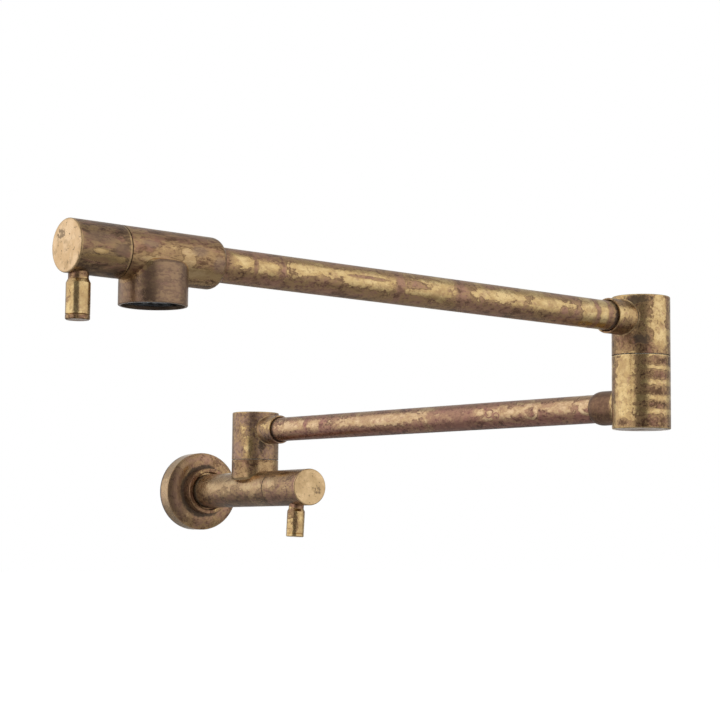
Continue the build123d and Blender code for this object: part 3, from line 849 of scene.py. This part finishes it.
@dataclass
class BrassPieces:
    """Outer brass of the tap, each piece with its own marks."""

    places: Places
    tube_radius: float = 7.0
    column_radius: float = 14.0
    wall_barrel_radius: float = 10.5
    spout_barrel_radius: float = 10.2
    flange_radius: float = 24.2

    def __post_init__(self) -> None:
        """Sets the frames of the tubes, columns and barrels."""
        at = self.places
        to_shoulder, towards = -at.lower_axis, Vector((-0.52, -0.854, 0.0))
        self.upper_tube = Frame(at.upper_start, at.spout_axis, UP.cross(at.spout_axis))
        self.lower_tube = Frame(at.lower_end, to_shoulder, UP.cross(to_shoulder))
        self.elbow = Frame(at.upper_start, UP, towards)
        self.shoulder = Frame(at.lower_start, UP, towards)
        self.wall = Frame(at.shoulder, at.wall_axis, Vector((-1.0, 0.0, 0.0)))
        self.spout = Frame(at.spout, at.spout_axis, UP.cross(at.spout_axis))

    def arm_tubes(self) -> dict[str, AgedBrass]:
        """Sets the finishes of the two tubes.

        Returns:
            Finish by node name.
        """
        return {
            "upper_arm_tube": AgedBrass(
                "upper_tube_brass", self.upper_tube, self.tube_radius, 1.0, 0.47, 0.38,
                stretch=0.6, underside_shade=0.22,
                rubbed=(
                    Spot(244.9, 1.2, 5.4, 2.8), Spot(232.4, 0.4, 5.8, 2.2), Spot(212.0, 1.8, 12.0, 2.9),
                    Spot(180.0, 1.0, 16.5, 4.0), Spot(145.7, -2.0, 14.0, 1.7), Spot(143.4, 3.6, 11.0, 1.3),
                    Spot(103.0, 2.2, 20.0, 3.2), Spot(70.0, 0.6, 15.0, 3.6),
                    Band(42.5, 6.0, 3.0), Band(33.0, 4.0, 2.0),
                ),
                stained=(
                    Spot(180.0, 1.5, 12.0, 0.8), Band(162.0, 3.0, 2.5), Band(126.0, 4.0, 3.0),
                    Band(38.0, 1.6, 2.0), Band(29.0, 1.6, 1.5),
                    # Painted shade: the long stains at around -6.6 and -8.0 darken the tube's lower side.
                    Spot(236.0, -6.6, 26.0, 4.2), Spot(238.0, 6.8, 24.0, 3.0),
                    Band(238.8, 1.3, 0.6), Band(225.0, 1.4, 0.8), Band(254.2, 4.0, 0.6),
                    Spot(196.0, -8.0, 30.0, 4.5), Spot(100.0, -8.0, 52.0, 4.2),
                    Spot(107.0, 5.6, 5.0, 2.2), Spot(61.0, -1.8, 2.6, 2.4),
                ),
                soot=(Band(25.2, 1.6, 0.4),),
                tarnish=(0.370, 0.225, 0.126), dark=(0.125, 0.070, 0.041), rose_tint=(0.405, 0.228, 0.160),
            ),
            "lower_arm_tube": AgedBrass(
                "lower_tube_brass", self.lower_tube, self.tube_radius, 2.0, 0.40, 0.38, patch_size=1.2,
                stretch=0.6, underside_shade=0.35,
                rubbed=(
                    Spot(262.0, 0.9, 10.0, 3.4), Spot(240.6, 0.8, 6.5, 3.4), Spot(182.5, 1.4, 40.0, 3.2),
                    Spot(104.0, 1.4, 4.5, 1.8), Spot(98.5, -2.0, 4.0, 1.5), Spot(94.0, 1.0, 4.5, 2.4),
                    Spot(88.0, -1.0, 3.0, 2.0), Spot(80.8, 0.6, 3.8, 2.2), Spot(63.6, 0.8, 1.8, 4.0),
                    Ringlet(Spot(67.0, 0.4, 5.0, 4.6), 0.30), Spot(46.8, 1.5, 8.5, 3.4),
                    Ringlet(Spot(29.0, 0.8, 5.6, 4.4), 0.38),
                ),
                stained=(
                    Band(248.5, 1.9, 2.8), Band(234.0, 2.0, 2.8),
                    Ringlet(Spot(97.0, 0.6, 3.4, 2.4), 0.35), Ringlet(Spot(91.8, -0.8, 2.6, 1.8), 0.4),
                ),
                # Painted shade: the long strip at around -12.2 darkens the tube's whole underside.
                soot=(Band(280.2, 1.4, 0.4), Spot(150.0, -12.2, 175.0, 3.2)),
                veiled_and_shaded=(Spot(126.0, 0.0, 20.0, 14.0),), veil_and_shade=(0.320, 0.168, 0.128), veil_and_shade_share=0.45,
                gold=(0.56, 0.375, 0.205), pale=(0.80, 0.59, 0.37), worn=(0.43, 0.262, 0.160),
                tarnish=(0.290, 0.158, 0.102), dark=(0.080, 0.042, 0.029), rose_tint=(0.365, 0.178, 0.142),
            ),
        }

    def elbow_pieces(self) -> dict[str, AgedBrass]:
        """Sets the finishes of the elbow's pieces.

        Returns:
            Finish by node name.
        """
        place, radius = self.elbow, self.column_radius
        return {
            "elbow_hub": AgedBrass(
                "elbow_hub_brass", place, radius, 3.0, 0.46, 0.20,
                rubbed=(
                    Spot(4.0, 8.0, 8.0, 4.0), Spot(-9.0, 8.5, 7.0, 4.5),
                    # Painted highlight: the gold spot at around -8.5 on the socket.
                    Spot(2.0, -34.0, 9.0, 8.0), Spot(0.5, -8.5, 4.0, 2.6),
                ),
                stained=(Spot(-11.0, -9.0, 6.0, 11.0),),
                soot=(Spot(8.5, -4.0, 3.2, 8.0), Spot(-10.5, -2.5, 3.5, 6.0), Band(-17.6, 0.5, 0.0)),
                worn_rims_and_highlights=(Band(10.6, 0.5),),
            ),
            "elbow_cap": AgedBrass(
                "elbow_cap_brass", place, radius, 4.0, 0.36, 0.15
            ),
            "elbow_column": AgedBrass(
                "elbow_column_brass", place, radius, 5.0, 0.46, 0.12,
                rubbed=(
                    # Painted highlight: the long gold spot at around -10.5 lays a bright upright band on the
                    # column.
                    Spot(-33.0, -10.5, 19.0, 6.0), Spot(-31.0, 9.0, 1.8, 13.0), Spot(-38.3, 9.0, 1.9, 13.0),
                    Spot(-24.4, 10.0, 1.5, 11.0), Spot(-44.8, 9.0, 1.7, 13.0),
                    Spot(-35.0, -34.0, 14.0, 9.0),
                ),
                stained=(
                    Spot(-27.2, 6.0, 2.6, 12.0), Spot(-34.8, 5.5, 2.6, 12.0), Spot(-41.6, 6.0, 2.1, 12.0),
                    Spot(-49.0, 6.5, 3.0, 12.0), Spot(-21.0, 8.0, 2.0, 12.0), Spot(-50.0, -12.0, 2.2, 4.0),
                    Reach(14.3, 15.8, -1.0, 0.6),
                ),
                veiled_and_shaded=(Reach(14.3, 15.8, -1.0, 0.6),), veil_and_shade=(0.175, 0.098, 0.066),
                worn_rims_and_highlights=(Band(-18.0, 0.4), Band(-52.4, 0.4)),
                tarnish=(0.285, 0.168, 0.092), dark=(0.095, 0.052, 0.029),
            ),
            "elbow_plug": AgedBrass(
                "elbow_plug_brass", place, radius, 6.0, 0.25, 0.15
            ),
        }

    def shoulder_pieces(self) -> dict[str, AgedBrass]:
        """Sets the finishes of the shoulder's turning pieces.

        Returns:
            Finish by node name.
        """
        place, radius = self.shoulder, self.column_radius
        return {
            "shoulder_hub": AgedBrass(
                "shoulder_hub_brass", place, radius, 7.0, 0.20, 0.36,
                # Painted highlight: the gold spot at around 8.5 on the socket's upper half.
                rubbed=(Spot(-10.5, -3.2, 6.5, 2.8), Spot(-3.0, -30.0, 8.0, 8.0), Spot(2.2, 8.5, 3.6, 4.5)),
                soot=(Band(-17.6, 0.5, 0.0), Spot(-9.0, 4.5, 6.0, 2.5)),
                worn_rims_and_highlights=(Band(10.6, 0.5),),
                tarnish=(0.320, 0.208, 0.130), dark=(0.130, 0.078, 0.050), rose_tint=(0.350, 0.220, 0.165),
            ),
            "shoulder_cap": AgedBrass(
                "shoulder_cap_brass", place, radius, 8.0, 0.36, 0.15
            ),
        }

    def wall_pieces(self) -> dict[str, AgedBrass]:
        """Sets the finishes of the wall valve, its handle and its flange.

        Returns:
            Finish by node name.
        """
        place, radius = self.wall, self.wall_barrel_radius
        return {
            "valve_body": AgedBrass(
                "valve_body_brass", place, radius, 9.0, 0.44, 0.16, stretch=0.6, underside_shade=0.35,
                rubbed=(
                    Spot(-40.0, 3.4, 12.0, 3.2), Spot(-12.0, 3.6, 9.0, 2.4), Spot(12.0, 1.0, 12.0, 2.8),
                ),
                # Painted shade: the wide band at -59.5 darkens the body where it enters the collar; the thin
                # band at 27.9 is the seam.
                soot=(Band(-59.5, 2.6, 0.6), Band(27.9, 0.5, 0.0)),
                gold=(0.49, 0.325, 0.170), pale=(0.62, 0.445, 0.245),
            ),
            "wall_handle": AgedBrass(
                "wall_handle_brass", place, radius, 10.0, 0.34, 0.24, stretch=0.6, underside_shade=0.35,
                face=66.8, specks=(-4.6, 1.4),
                rubbed=(Spot(36.0, 3.0, 7.5, 3.2),),
                soot=(Band(28.1, 0.5, 0.0),),
                worn_rims_and_highlights=(Band(66.4, 0.5),),
                gold=(0.50, 0.330, 0.175), pale=(0.62, 0.440, 0.245),
                face_light=(0.78, 0.560, 0.315), face_shade=(0.62, 0.435, 0.230),
            ),
            "wall_lever": AgedBrass(
                "wall_lever_brass", place, radius, 11.0, 0.80, 0.16,
                stained=(Reach(11.5, 13.5, 0.7, -1.0),),
            ),
            "wall_flange": AgedBrass(
                "flange_brass", place, self.flange_radius, 12.0, 0.42, 0.34, patch_size=0.7,
                # Painted shadow: the stain and soot marks darken the face in a ring round the collar.
                stained=(Reach(14.0, 19.0, 0.5, -1.0),),
                soot=(Reach(14.2, 21.0, 0.8, -1.0),),
                # Painted reflection: this film darkens the half of the face towards -X.
                veiled_and_shaded=(Spot(-68.6, 2.0, 2.5, 34.0),), veil_and_shade=(0.170, 0.105, 0.074),
                # Painted highlight: the wide pale band along the flange's side.
                worn_rims_and_highlights=(Band(-75.5, 6.0),),
                gold=(0.53, 0.355, 0.180), pale=(0.68, 0.480, 0.270), rose_tint=(0.400, 0.235, 0.165),
            ),
            "flange_collar": AgedBrass(
                "collar_brass", place, self.column_radius, 13.0, 0.26, 0.22, underside_shade=0.1,
                # Painted shade: stain and soot darken the collar towards its inner edge by the gap.
                stained=(Reach(10.0, 13.0, 0.6, 0.0),),
                soot=(Reach(10.8, 12.4, 0.6, -1.0),),
            ),
        }

    def spout_pieces(self) -> dict[str, AgedBrass]:
        """Sets the finishes of the spout, its handle and its lever.

        Returns:
            Finish by node name.
        """
        place, radius = self.spout, self.spout_barrel_radius
        return {
            "outlet_body": AgedBrass(
                "outlet_body_brass", place, radius, 14.0, 0.34, 0.20, stretch=0.4,
                rubbed=(
                    Spot(2.0, -3.3, 10.0, 2.0), Spot(-9.5, -2.2, 3.5, 2.2),
                    Spot(-16.0, -6.6, 11.0, 2.4), Spot(-9.0, 1.5, 4.0, 1.2),
                ),
                stained=(Reach(10.6, 12.0, -1.0, 0.4),),
                veiled_and_shaded=(
                    Reach(10.6, 12.0, -1.0, 0.6), Spot(-14.5, 2.5, 4.5, 2.4),
                    Spot(-24.0, -2.0, 3.5, 4.0), Spot(8.0, 3.0, 5.0, 2.0),
                ),
                veil_and_shade=(0.250, 0.168, 0.124), veil_and_shade_share=0.55,
                gold=(0.50, 0.335, 0.165), pale=(0.62, 0.44, 0.24),
                # Painted shade: the inside of the bore under the barrel is darkened.
                soot=(Bore(0.0, 12.4, 12.0),),
                worn_rims_and_highlights=(Band(-28.4, 0.5),),
            ),
            "outlet_handle": AgedBrass(
                "outlet_handle_brass", place, radius, 15.0, 0.24, 0.12, stretch=0.4,
                face=38.8, specks=(-4.0, 4.3),
                rubbed=(Spot(27.0, -4.9, 9.5, 1.4), Spot(30.0, -2.4, 3.5, 0.9)),
                veiled_and_shaded=(Spot(30.0, 3.0, 8.0, 3.0), Spot(21.0, -1.0, 4.0, 3.0)),
                veil_and_shade=(0.180, 0.118, 0.082), gold=(0.46, 0.305, 0.140), pale=(0.60, 0.42, 0.21),
                tarnish=(0.235, 0.150, 0.086), dark=(0.090, 0.055, 0.035), worn=(0.33, 0.22, 0.115),
                worn_rims_and_highlights=(Band(16.9, 0.5), Band(38.4, 0.5)),
            ),
            "outlet_lever": AgedBrass(
                "outlet_lever_brass", place, radius, 16.0, 0.78, 0.22,
                stained=(Reach(11.5, 13.5, 0.7, -1.0), Reach(24.0, 26.0, -1.0, 0.4)),
            ),
        }

    def build(self) -> None:
        """Dresses the outer nodes."""
        groups = (
            self.arm_tubes(), self.elbow_pieces(), self.shoulder_pieces(), self.wall_pieces(),
            self.spout_pieces(),
        )
        for group in groups:
            for node, finish in group.items():
                dress(node, finish.build())


# ---------------------------------------------------------------- fine pieces
SHARP_ANGLE = math.radians(50.0)
MERGE_DISTANCE = 1e-6


def deselect() -> None:
    """Leaves nothing selected."""
    bpy.ops.object.select_all(action="DESELECT")


def rod(name: str, start: Vector, end: Vector, radius: float, sides: int = 96) -> Piece:
    """Adds a round bar between two points as the start of a piece.

    Args:
        name: Name of the object.
        start: Middle of one end, in metres.
        end: Middle of the other end, in metres.
        radius: Radius in metres.
        sides: Number of its sides.

    Returns:
        The bar.
    """
    deselect()
    turn = (end - start).to_track_quat("Z", "Y").to_euler()
    bpy.ops.mesh.primitive_cylinder_add(
        vertices=sides, radius=radius, depth=(end - start).length, location=(start + end) / 2, rotation=turn
    )
    bar = bpy.context.object
    bar.name = name
    return bar


def combine(piece: Piece, tool: Piece, operation: str) -> None:
    """Cuts or joins a piece with another one, which is used up.

    Args:
        piece: Piece that is changed.
        tool: Piece that changes it.
        operation: Blender's name of the operation.
    """
    modifier = piece.modifiers.new("combine", "BOOLEAN")
    modifier.object, modifier.operation, modifier.solver = tool, operation, "EXACT"
    deselect()
    piece.select_set(True)
    bpy.context.view_layer.objects.active = piece
    bpy.ops.object.modifier_apply(modifier="combine")
    bpy.data.objects.remove(tool, do_unlink=True)


def finish_piece(piece: Piece, body: Body, material: Material, edge: float) -> None:
    """Rounds a fine piece's edges, puts its place in its mesh, dresses it and lets it ride.

    Args:
        piece: Piece to finish.
        body: Body that carries it.
        material: Its material.
        edge: Width of its rounded edges, in metres.
    """
    deselect()
    piece.select_set(True)
    bpy.context.view_layer.objects.active = piece
    bevel = piece.modifiers.new("edge", "BEVEL")
    bevel.width, bevel.segments, bevel.angle_limit = edge, 3, SHARP_ANGLE
    bpy.ops.object.modifier_apply(modifier="edge")
    bpy.ops.object.transform_apply(location=True, rotation=True, scale=True)
    bpy.ops.object.mode_set(mode="EDIT")
    bpy.ops.mesh.select_all(action="SELECT")
    bpy.ops.mesh.remove_doubles(threshold=MERGE_DISTANCE)
    bpy.ops.mesh.normals_make_consistent(inside=False)
    bpy.ops.object.mode_set(mode="OBJECT")
    bpy.ops.object.shade_smooth_by_angle(angle=SHARP_ANGLE)
    piece.data.materials.clear()
    piece.data.materials.append(material)
    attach(piece, body.value)
    log.info("%s rides on %s", piece.name, body.value)


@dataclass
class BrazeBead:
    """Thin bead of braze where a socket's round stub meets its column."""

    name: str
    body: Body
    centre: Vector
    heading: Vector
    stub_radius: float = 8.4
    column_radius: float = 14.0
    width: float = 0.42
    root: float = 0.2
    stub_start: float = 9.0
    stub_end: float = 17.0
    half_height: float = 12.0
    edge: float = 0.2

    def stub(self, name: str, extra: float) -> Piece:
        """Adds a bar along the stub, that much thicker in millimetres."""
        reaches = (self.stub_start - extra, self.stub_end + extra)
        start, end = (self.centre + self.heading * reach * MM for reach in reaches)
        return rod(name, start, end, (self.stub_radius + extra) * MM)

    def column(self, name: str, extra: float) -> Piece:
        """Adds a bar along the column, that much thicker in millimetres."""
        reach = UP * (self.half_height + abs(extra)) * MM
        return rod(name, self.centre - reach, self.centre + reach, (self.column_radius + extra) * MM)

    def build(self, material: Material) -> None:
        """Builds the bead.

        Args:
            material: Its material.
        """
        bead = self.stub(self.name, self.width)
        combine(bead, self.column("column_outside", self.width), "INTERSECT")
        combine(bead, self.column("column_inside", -self.root), "DIFFERENCE")
        combine(bead, self.stub("stub_inside", -self.root), "DIFFERENCE")
        finish_piece(bead, self.body, material, self.edge * MM)


@dataclass
class InletThread:
    """Thread in the wall valve's inlet, which screws on the water pipe."""

    places: Places
    bore_radius: float = 9.5
    crest_radius: float = 9.32
    sunk: float = 0.06
    half_share: float = 0.36
    edge: float = 0.02
    pitch: float = 1.814
    first_turn: float = 1.6
    turns: int = 6
    steps: int = 72

    def build(self, material: Material) -> None:
        """Builds the thread as one ridge that is wound up the bore.

        Args:
            material: Its material.
        """
        deselect()
        root, crest = (self.bore_radius + self.sunk) * MM, self.crest_radius * MM
        half = self.pitch * self.half_share * MM
        profile = ((root, 0.0, -half), (crest, 0.0, 0.0), (root, 0.0, half))
        bpy.ops.mesh.primitive_circle_add(
            vertices=len(profile), radius=half, fill_type="NGON", location=(0.0, 0.0, 0.0)
        )
        ridge = bpy.context.object
        ridge.name = "inlet_thread"
        for vertex, place in zip(ridge.data.vertices, profile):
            vertex.co = place
        screw = ridge.modifiers.new("wind", "SCREW")
        screw.angle, screw.steps, screw.render_steps = 2.0 * math.pi, self.steps, self.steps
        screw.screw_offset, screw.iterations, screw.axis = self.pitch * MM, self.turns, "Z"
        bpy.ops.object.modifier_apply(modifier="wind")
        mouth = Vector((self.places.shoulder.x, 0.0, self.places.shoulder.z))
        start = mouth + self.places.wall_axis * (self.first_turn * MM)
        turn = self.places.wall_axis.to_track_quat("Z", "Y").to_matrix().to_4x4()
        ridge.matrix_world = Matrix.Translation(start) @ turn
        finish_piece(ridge, Body.WALL_VALVE, material, self.edge * MM)


@dataclass
class FinePieces:
    """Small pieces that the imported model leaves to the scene."""

    places: Places

    def build(self) -> None:
        """Builds the beads and the thread."""
        at = self.places
        braze = PlainStuff(
            "braze_brass", (0.66, 0.49, 0.28), (0.20, 0.125, 0.070), 1.0, 0.32, 0.2, 2.0, 0.4
        ).build()
        BrazeBead("shoulder_braze", Body.LOWER_ARM, at.lower_start, at.lower_axis).build(braze)
        BrazeBead("lower_elbow_braze", Body.LOWER_ARM, at.lower_end, -at.lower_axis).build(braze)
        BrazeBead("upper_elbow_braze", Body.UPPER_ARM, at.upper_start, at.spout_axis).build(braze)
        InletThread(at).build(braze)


# ---------------------------------------------------------------- studio
@dataclass
class Lamp:
    """Soft box that lights the object."""

    name: str
    place: Colour
    aim: Colour
    size: float
    power: float

    def build(self) -> None:
        """Adds the lamp."""
        data = bpy.data.lights.new(self.name, "AREA")
        data.shape, data.size, data.energy = "SQUARE", self.size, self.power
        lamp = bpy.data.objects.new(self.name, data)
        bpy.context.scene.collection.objects.link(lamp)
        lamp.location = self.place
        lamp.rotation_euler = (Vector(self.aim) - Vector(self.place)).to_track_quat("-Z", "Y").to_euler()
        lamp.visible_glossy = False
        lamp.visible_camera = False
        log.info("lamp %s", self.name)


@dataclass(frozen=True)
class SoftBox:
    """Bright zone of the surroundings, in degrees from +X and above the horizon."""

    azimuth: float
    half_width: float
    low: float
    high: float
    strength: float
    border: float = 9.0
    low_border: float = 35.0

    def level(self, graph: Graph, direction: Socket, height: Socket) -> Socket:
        """Writes the zone's brightness.

        Args:
            graph: Tree of the world.
            direction: Direction of the ray.
            height: Upward part of the direction.

        Returns:
            Socket of the brightness.
        """
        turn = {"Vector": direction, "Angle": math.radians(-self.azimuth)}
        turned = graph.add("ShaderNodeVectorRotate", turn, rotation_type="Z_AXIS").outputs[0]
        parts = graph.add("ShaderNodeSeparateXYZ", {"Vector": turned}).outputs
        angle = graph.math("ABSOLUTE", graph.math("ARCTAN2", parts["Y"], parts["X"]))
        away = graph.math("DEGREES", angle)
        lift = graph.math("DEGREES", graph.math("ARCSINE", height))
        border = self.border
        across = graph.ramp(away, self.half_width - border, self.half_width + border, self.strength, 0.0)
        from_below = graph.ramp(lift, self.low - self.low_border, self.low + self.low_border)
        from_above = graph.ramp(lift, self.high - border, self.high + border, 1.0, 0.0)
        return graph.both(across, graph.both(from_below, from_above))


@dataclass
class Studio:
    """Pale floor, white surroundings and soft boxes."""

    floor_height: float = -0.34
    floor_size: float = 30.0
    floor_level: float = 0.37
    floor_tint: Colour = (0.82, 0.82, 0.82)
    floor_seen_tint: Colour = (0.34, 0.34, 0.34)
    floor_glow: float = 0.86
    room_level: float = 0.185
    room_tint: Colour = (1.0, 0.985, 0.965)
    boxes: tuple[SoftBox, ...] = (
        SoftBox(157.0, 50.0, -25.0, 55.0, 1.08),
        SoftBox(302.0, 46.0, -25.0, 55.0, 1.0),
        SoftBox(240.0, 185.0, 66.0, 100.0, 0.75, 12.0, 12.0),
        SoftBox(45.0, 78.0, -15.0, 75.0, 0.50, 14.0, 25.0),
    )
    backdrop: SoftBox = SoftBox(58.7, 14.0, -8.0, 14.0, 1.0, 5.0, 5.0)
    lamps: tuple[Lamp, ...] = (
        Lamp("left_box", (-1.5, -0.5, 1.0), (-0.1, -0.25, 0.03), 1.2, 22.0),
        Lamp("right_box", (0.9, -1.5, 0.8), (-0.05, -0.25, 0.03), 1.0, 12.0),
        Lamp("top_box", (-0.1, -0.2, 1.6), (-0.1, -0.2, 0.0), 1.4, 18.0),
    )

    def floor(self) -> None:
        """Adds the floor, whose white is seen by the camera and whose shadow stays."""
        deselect()
        bpy.ops.mesh.primitive_plane_add(size=self.floor_size, location=(0.0, 0.0, self.floor_height))
        plane = bpy.context.object
        plane.name = "studio_floor"
        bpy.ops.object.transform_apply(location=True, rotation=True, scale=True)
        plane.visible_glossy = False
        material = bpy.data.materials.new("floor_white")
        material.use_nodes = True
        graph = Graph(material.node_tree)
        graph.tree.nodes.clear()
        path = graph.add("ShaderNodeLightPath").outputs
        seen = graph.either(path["Is Camera Ray"], path["Is Glossy Ray"])
        seen = graph.either(seen, path["Is Transmission Ray"])
        diffuse = graph.add("ShaderNodeBsdfDiffuse", {"Color": self.floor_tint}).outputs[0]
        soft = graph.add("ShaderNodeBsdfDiffuse", {"Color": self.floor_seen_tint}).outputs[0]
        glow = graph.add("ShaderNodeEmission", {"Color": WHITE, "Strength": self.floor_glow}).outputs[0]
        shown = graph.add("ShaderNodeAddShader", {0: soft, 1: glow}).outputs[0]
        mixed = graph.add("ShaderNodeMixShader", {0: seen, 1: diffuse, 2: shown}).outputs[0]
        graph.add("ShaderNodeOutputMaterial", {"Surface": mixed})
        plane.data.materials.append(material)

    def surroundings(self) -> None:
        """Writes the world: white where it is seen, and soft boxes in a dim room where it is mirrored."""
        world = bpy.data.worlds.new("studio")
        bpy.context.scene.world = world
        world.use_nodes = True
        graph = Graph(world.node_tree)
        graph.tree.nodes.clear()
        direction = graph.add("ShaderNodeTexCoord").outputs["Generated"]
        height = graph.add("ShaderNodeSeparateXYZ", {"Vector": direction}).outputs["Z"]
        level = graph.ramp(height, -0.96, 0.0, self.floor_level, self.room_level)
        for box in self.boxes:
            level = graph.either(level, box.level(graph, direction, height))
        backdrop = self.backdrop.level(graph, direction, height)
        path = graph.add("ShaderNodeLightPath").outputs
        mirrored = graph.both(path["Is Glossy Ray"], backdrop)
        seen = graph.either(graph.either(path["Is Camera Ray"], path["Is Transmission Ray"]), mirrored)
        grey = graph.add("ShaderNodeBackground", {"Color": self.room_tint, "Strength": level}).outputs[0]
        white = graph.add("ShaderNodeBackground", {"Color": WHITE, "Strength": 1.0}).outputs[0]
        mixed = graph.add("ShaderNodeMixShader", {0: seen, 1: grey, 2: white}).outputs[0]
        graph.add("ShaderNodeOutputWorld", {"Surface": mixed})

    def build(self) -> None:
        """Adds the floor, the surroundings and the lamps."""
        self.floor()
        self.surroundings()
        for lamp in self.lamps:
            lamp.build()
        bpy.context.scene.view_settings.view_transform = "Standard"


@dataclass
class PhotoCamera:
    """Camera at the photograph's place."""

    place: Colour = (-0.5259, -1.0666, -0.0307)
    azimuth: float = 58.69
    pitch: float = 5.603
    roll: float = 0.5496
    lens: float = 92.5
    sensor: float = 36.0
    nearest: float = 0.05
    farthest: float = 100.0

    def build(self) -> None:
        """Adds the camera and makes it the scene's."""
        data = bpy.data.cameras.new("photo_camera")
        data.lens, data.sensor_width = self.lens, self.sensor
        data.clip_start, data.clip_end = self.nearest, self.farthest
        camera = bpy.data.objects.new("photo_camera", data)
        bpy.context.scene.collection.objects.link(camera)
        turn = Matrix.Rotation(math.radians(self.azimuth - 90.0), 4, "Z")
        tilt = Matrix.Rotation(math.radians(90.0 + self.pitch), 4, "X")
        roll = Matrix.Rotation(math.radians(self.roll), 4, "Z")
        camera.matrix_world = Matrix.Translation(Vector(self.place)) @ turn @ tilt @ roll
        bpy.context.scene.camera = camera


def main() -> None:
    """Builds the tap's looks, the studio and the camera, in order."""
    logging.basicConfig(level=logging.INFO, format="%(name)s: %(message)s")
    places = Places(frame["joints"])
    InnerParts().build()
    BrassPieces(places).build()
    FinePieces(places).build()
    Studio().build()
    PhotoCamera().build()


if __name__ == "__main__":
    main()
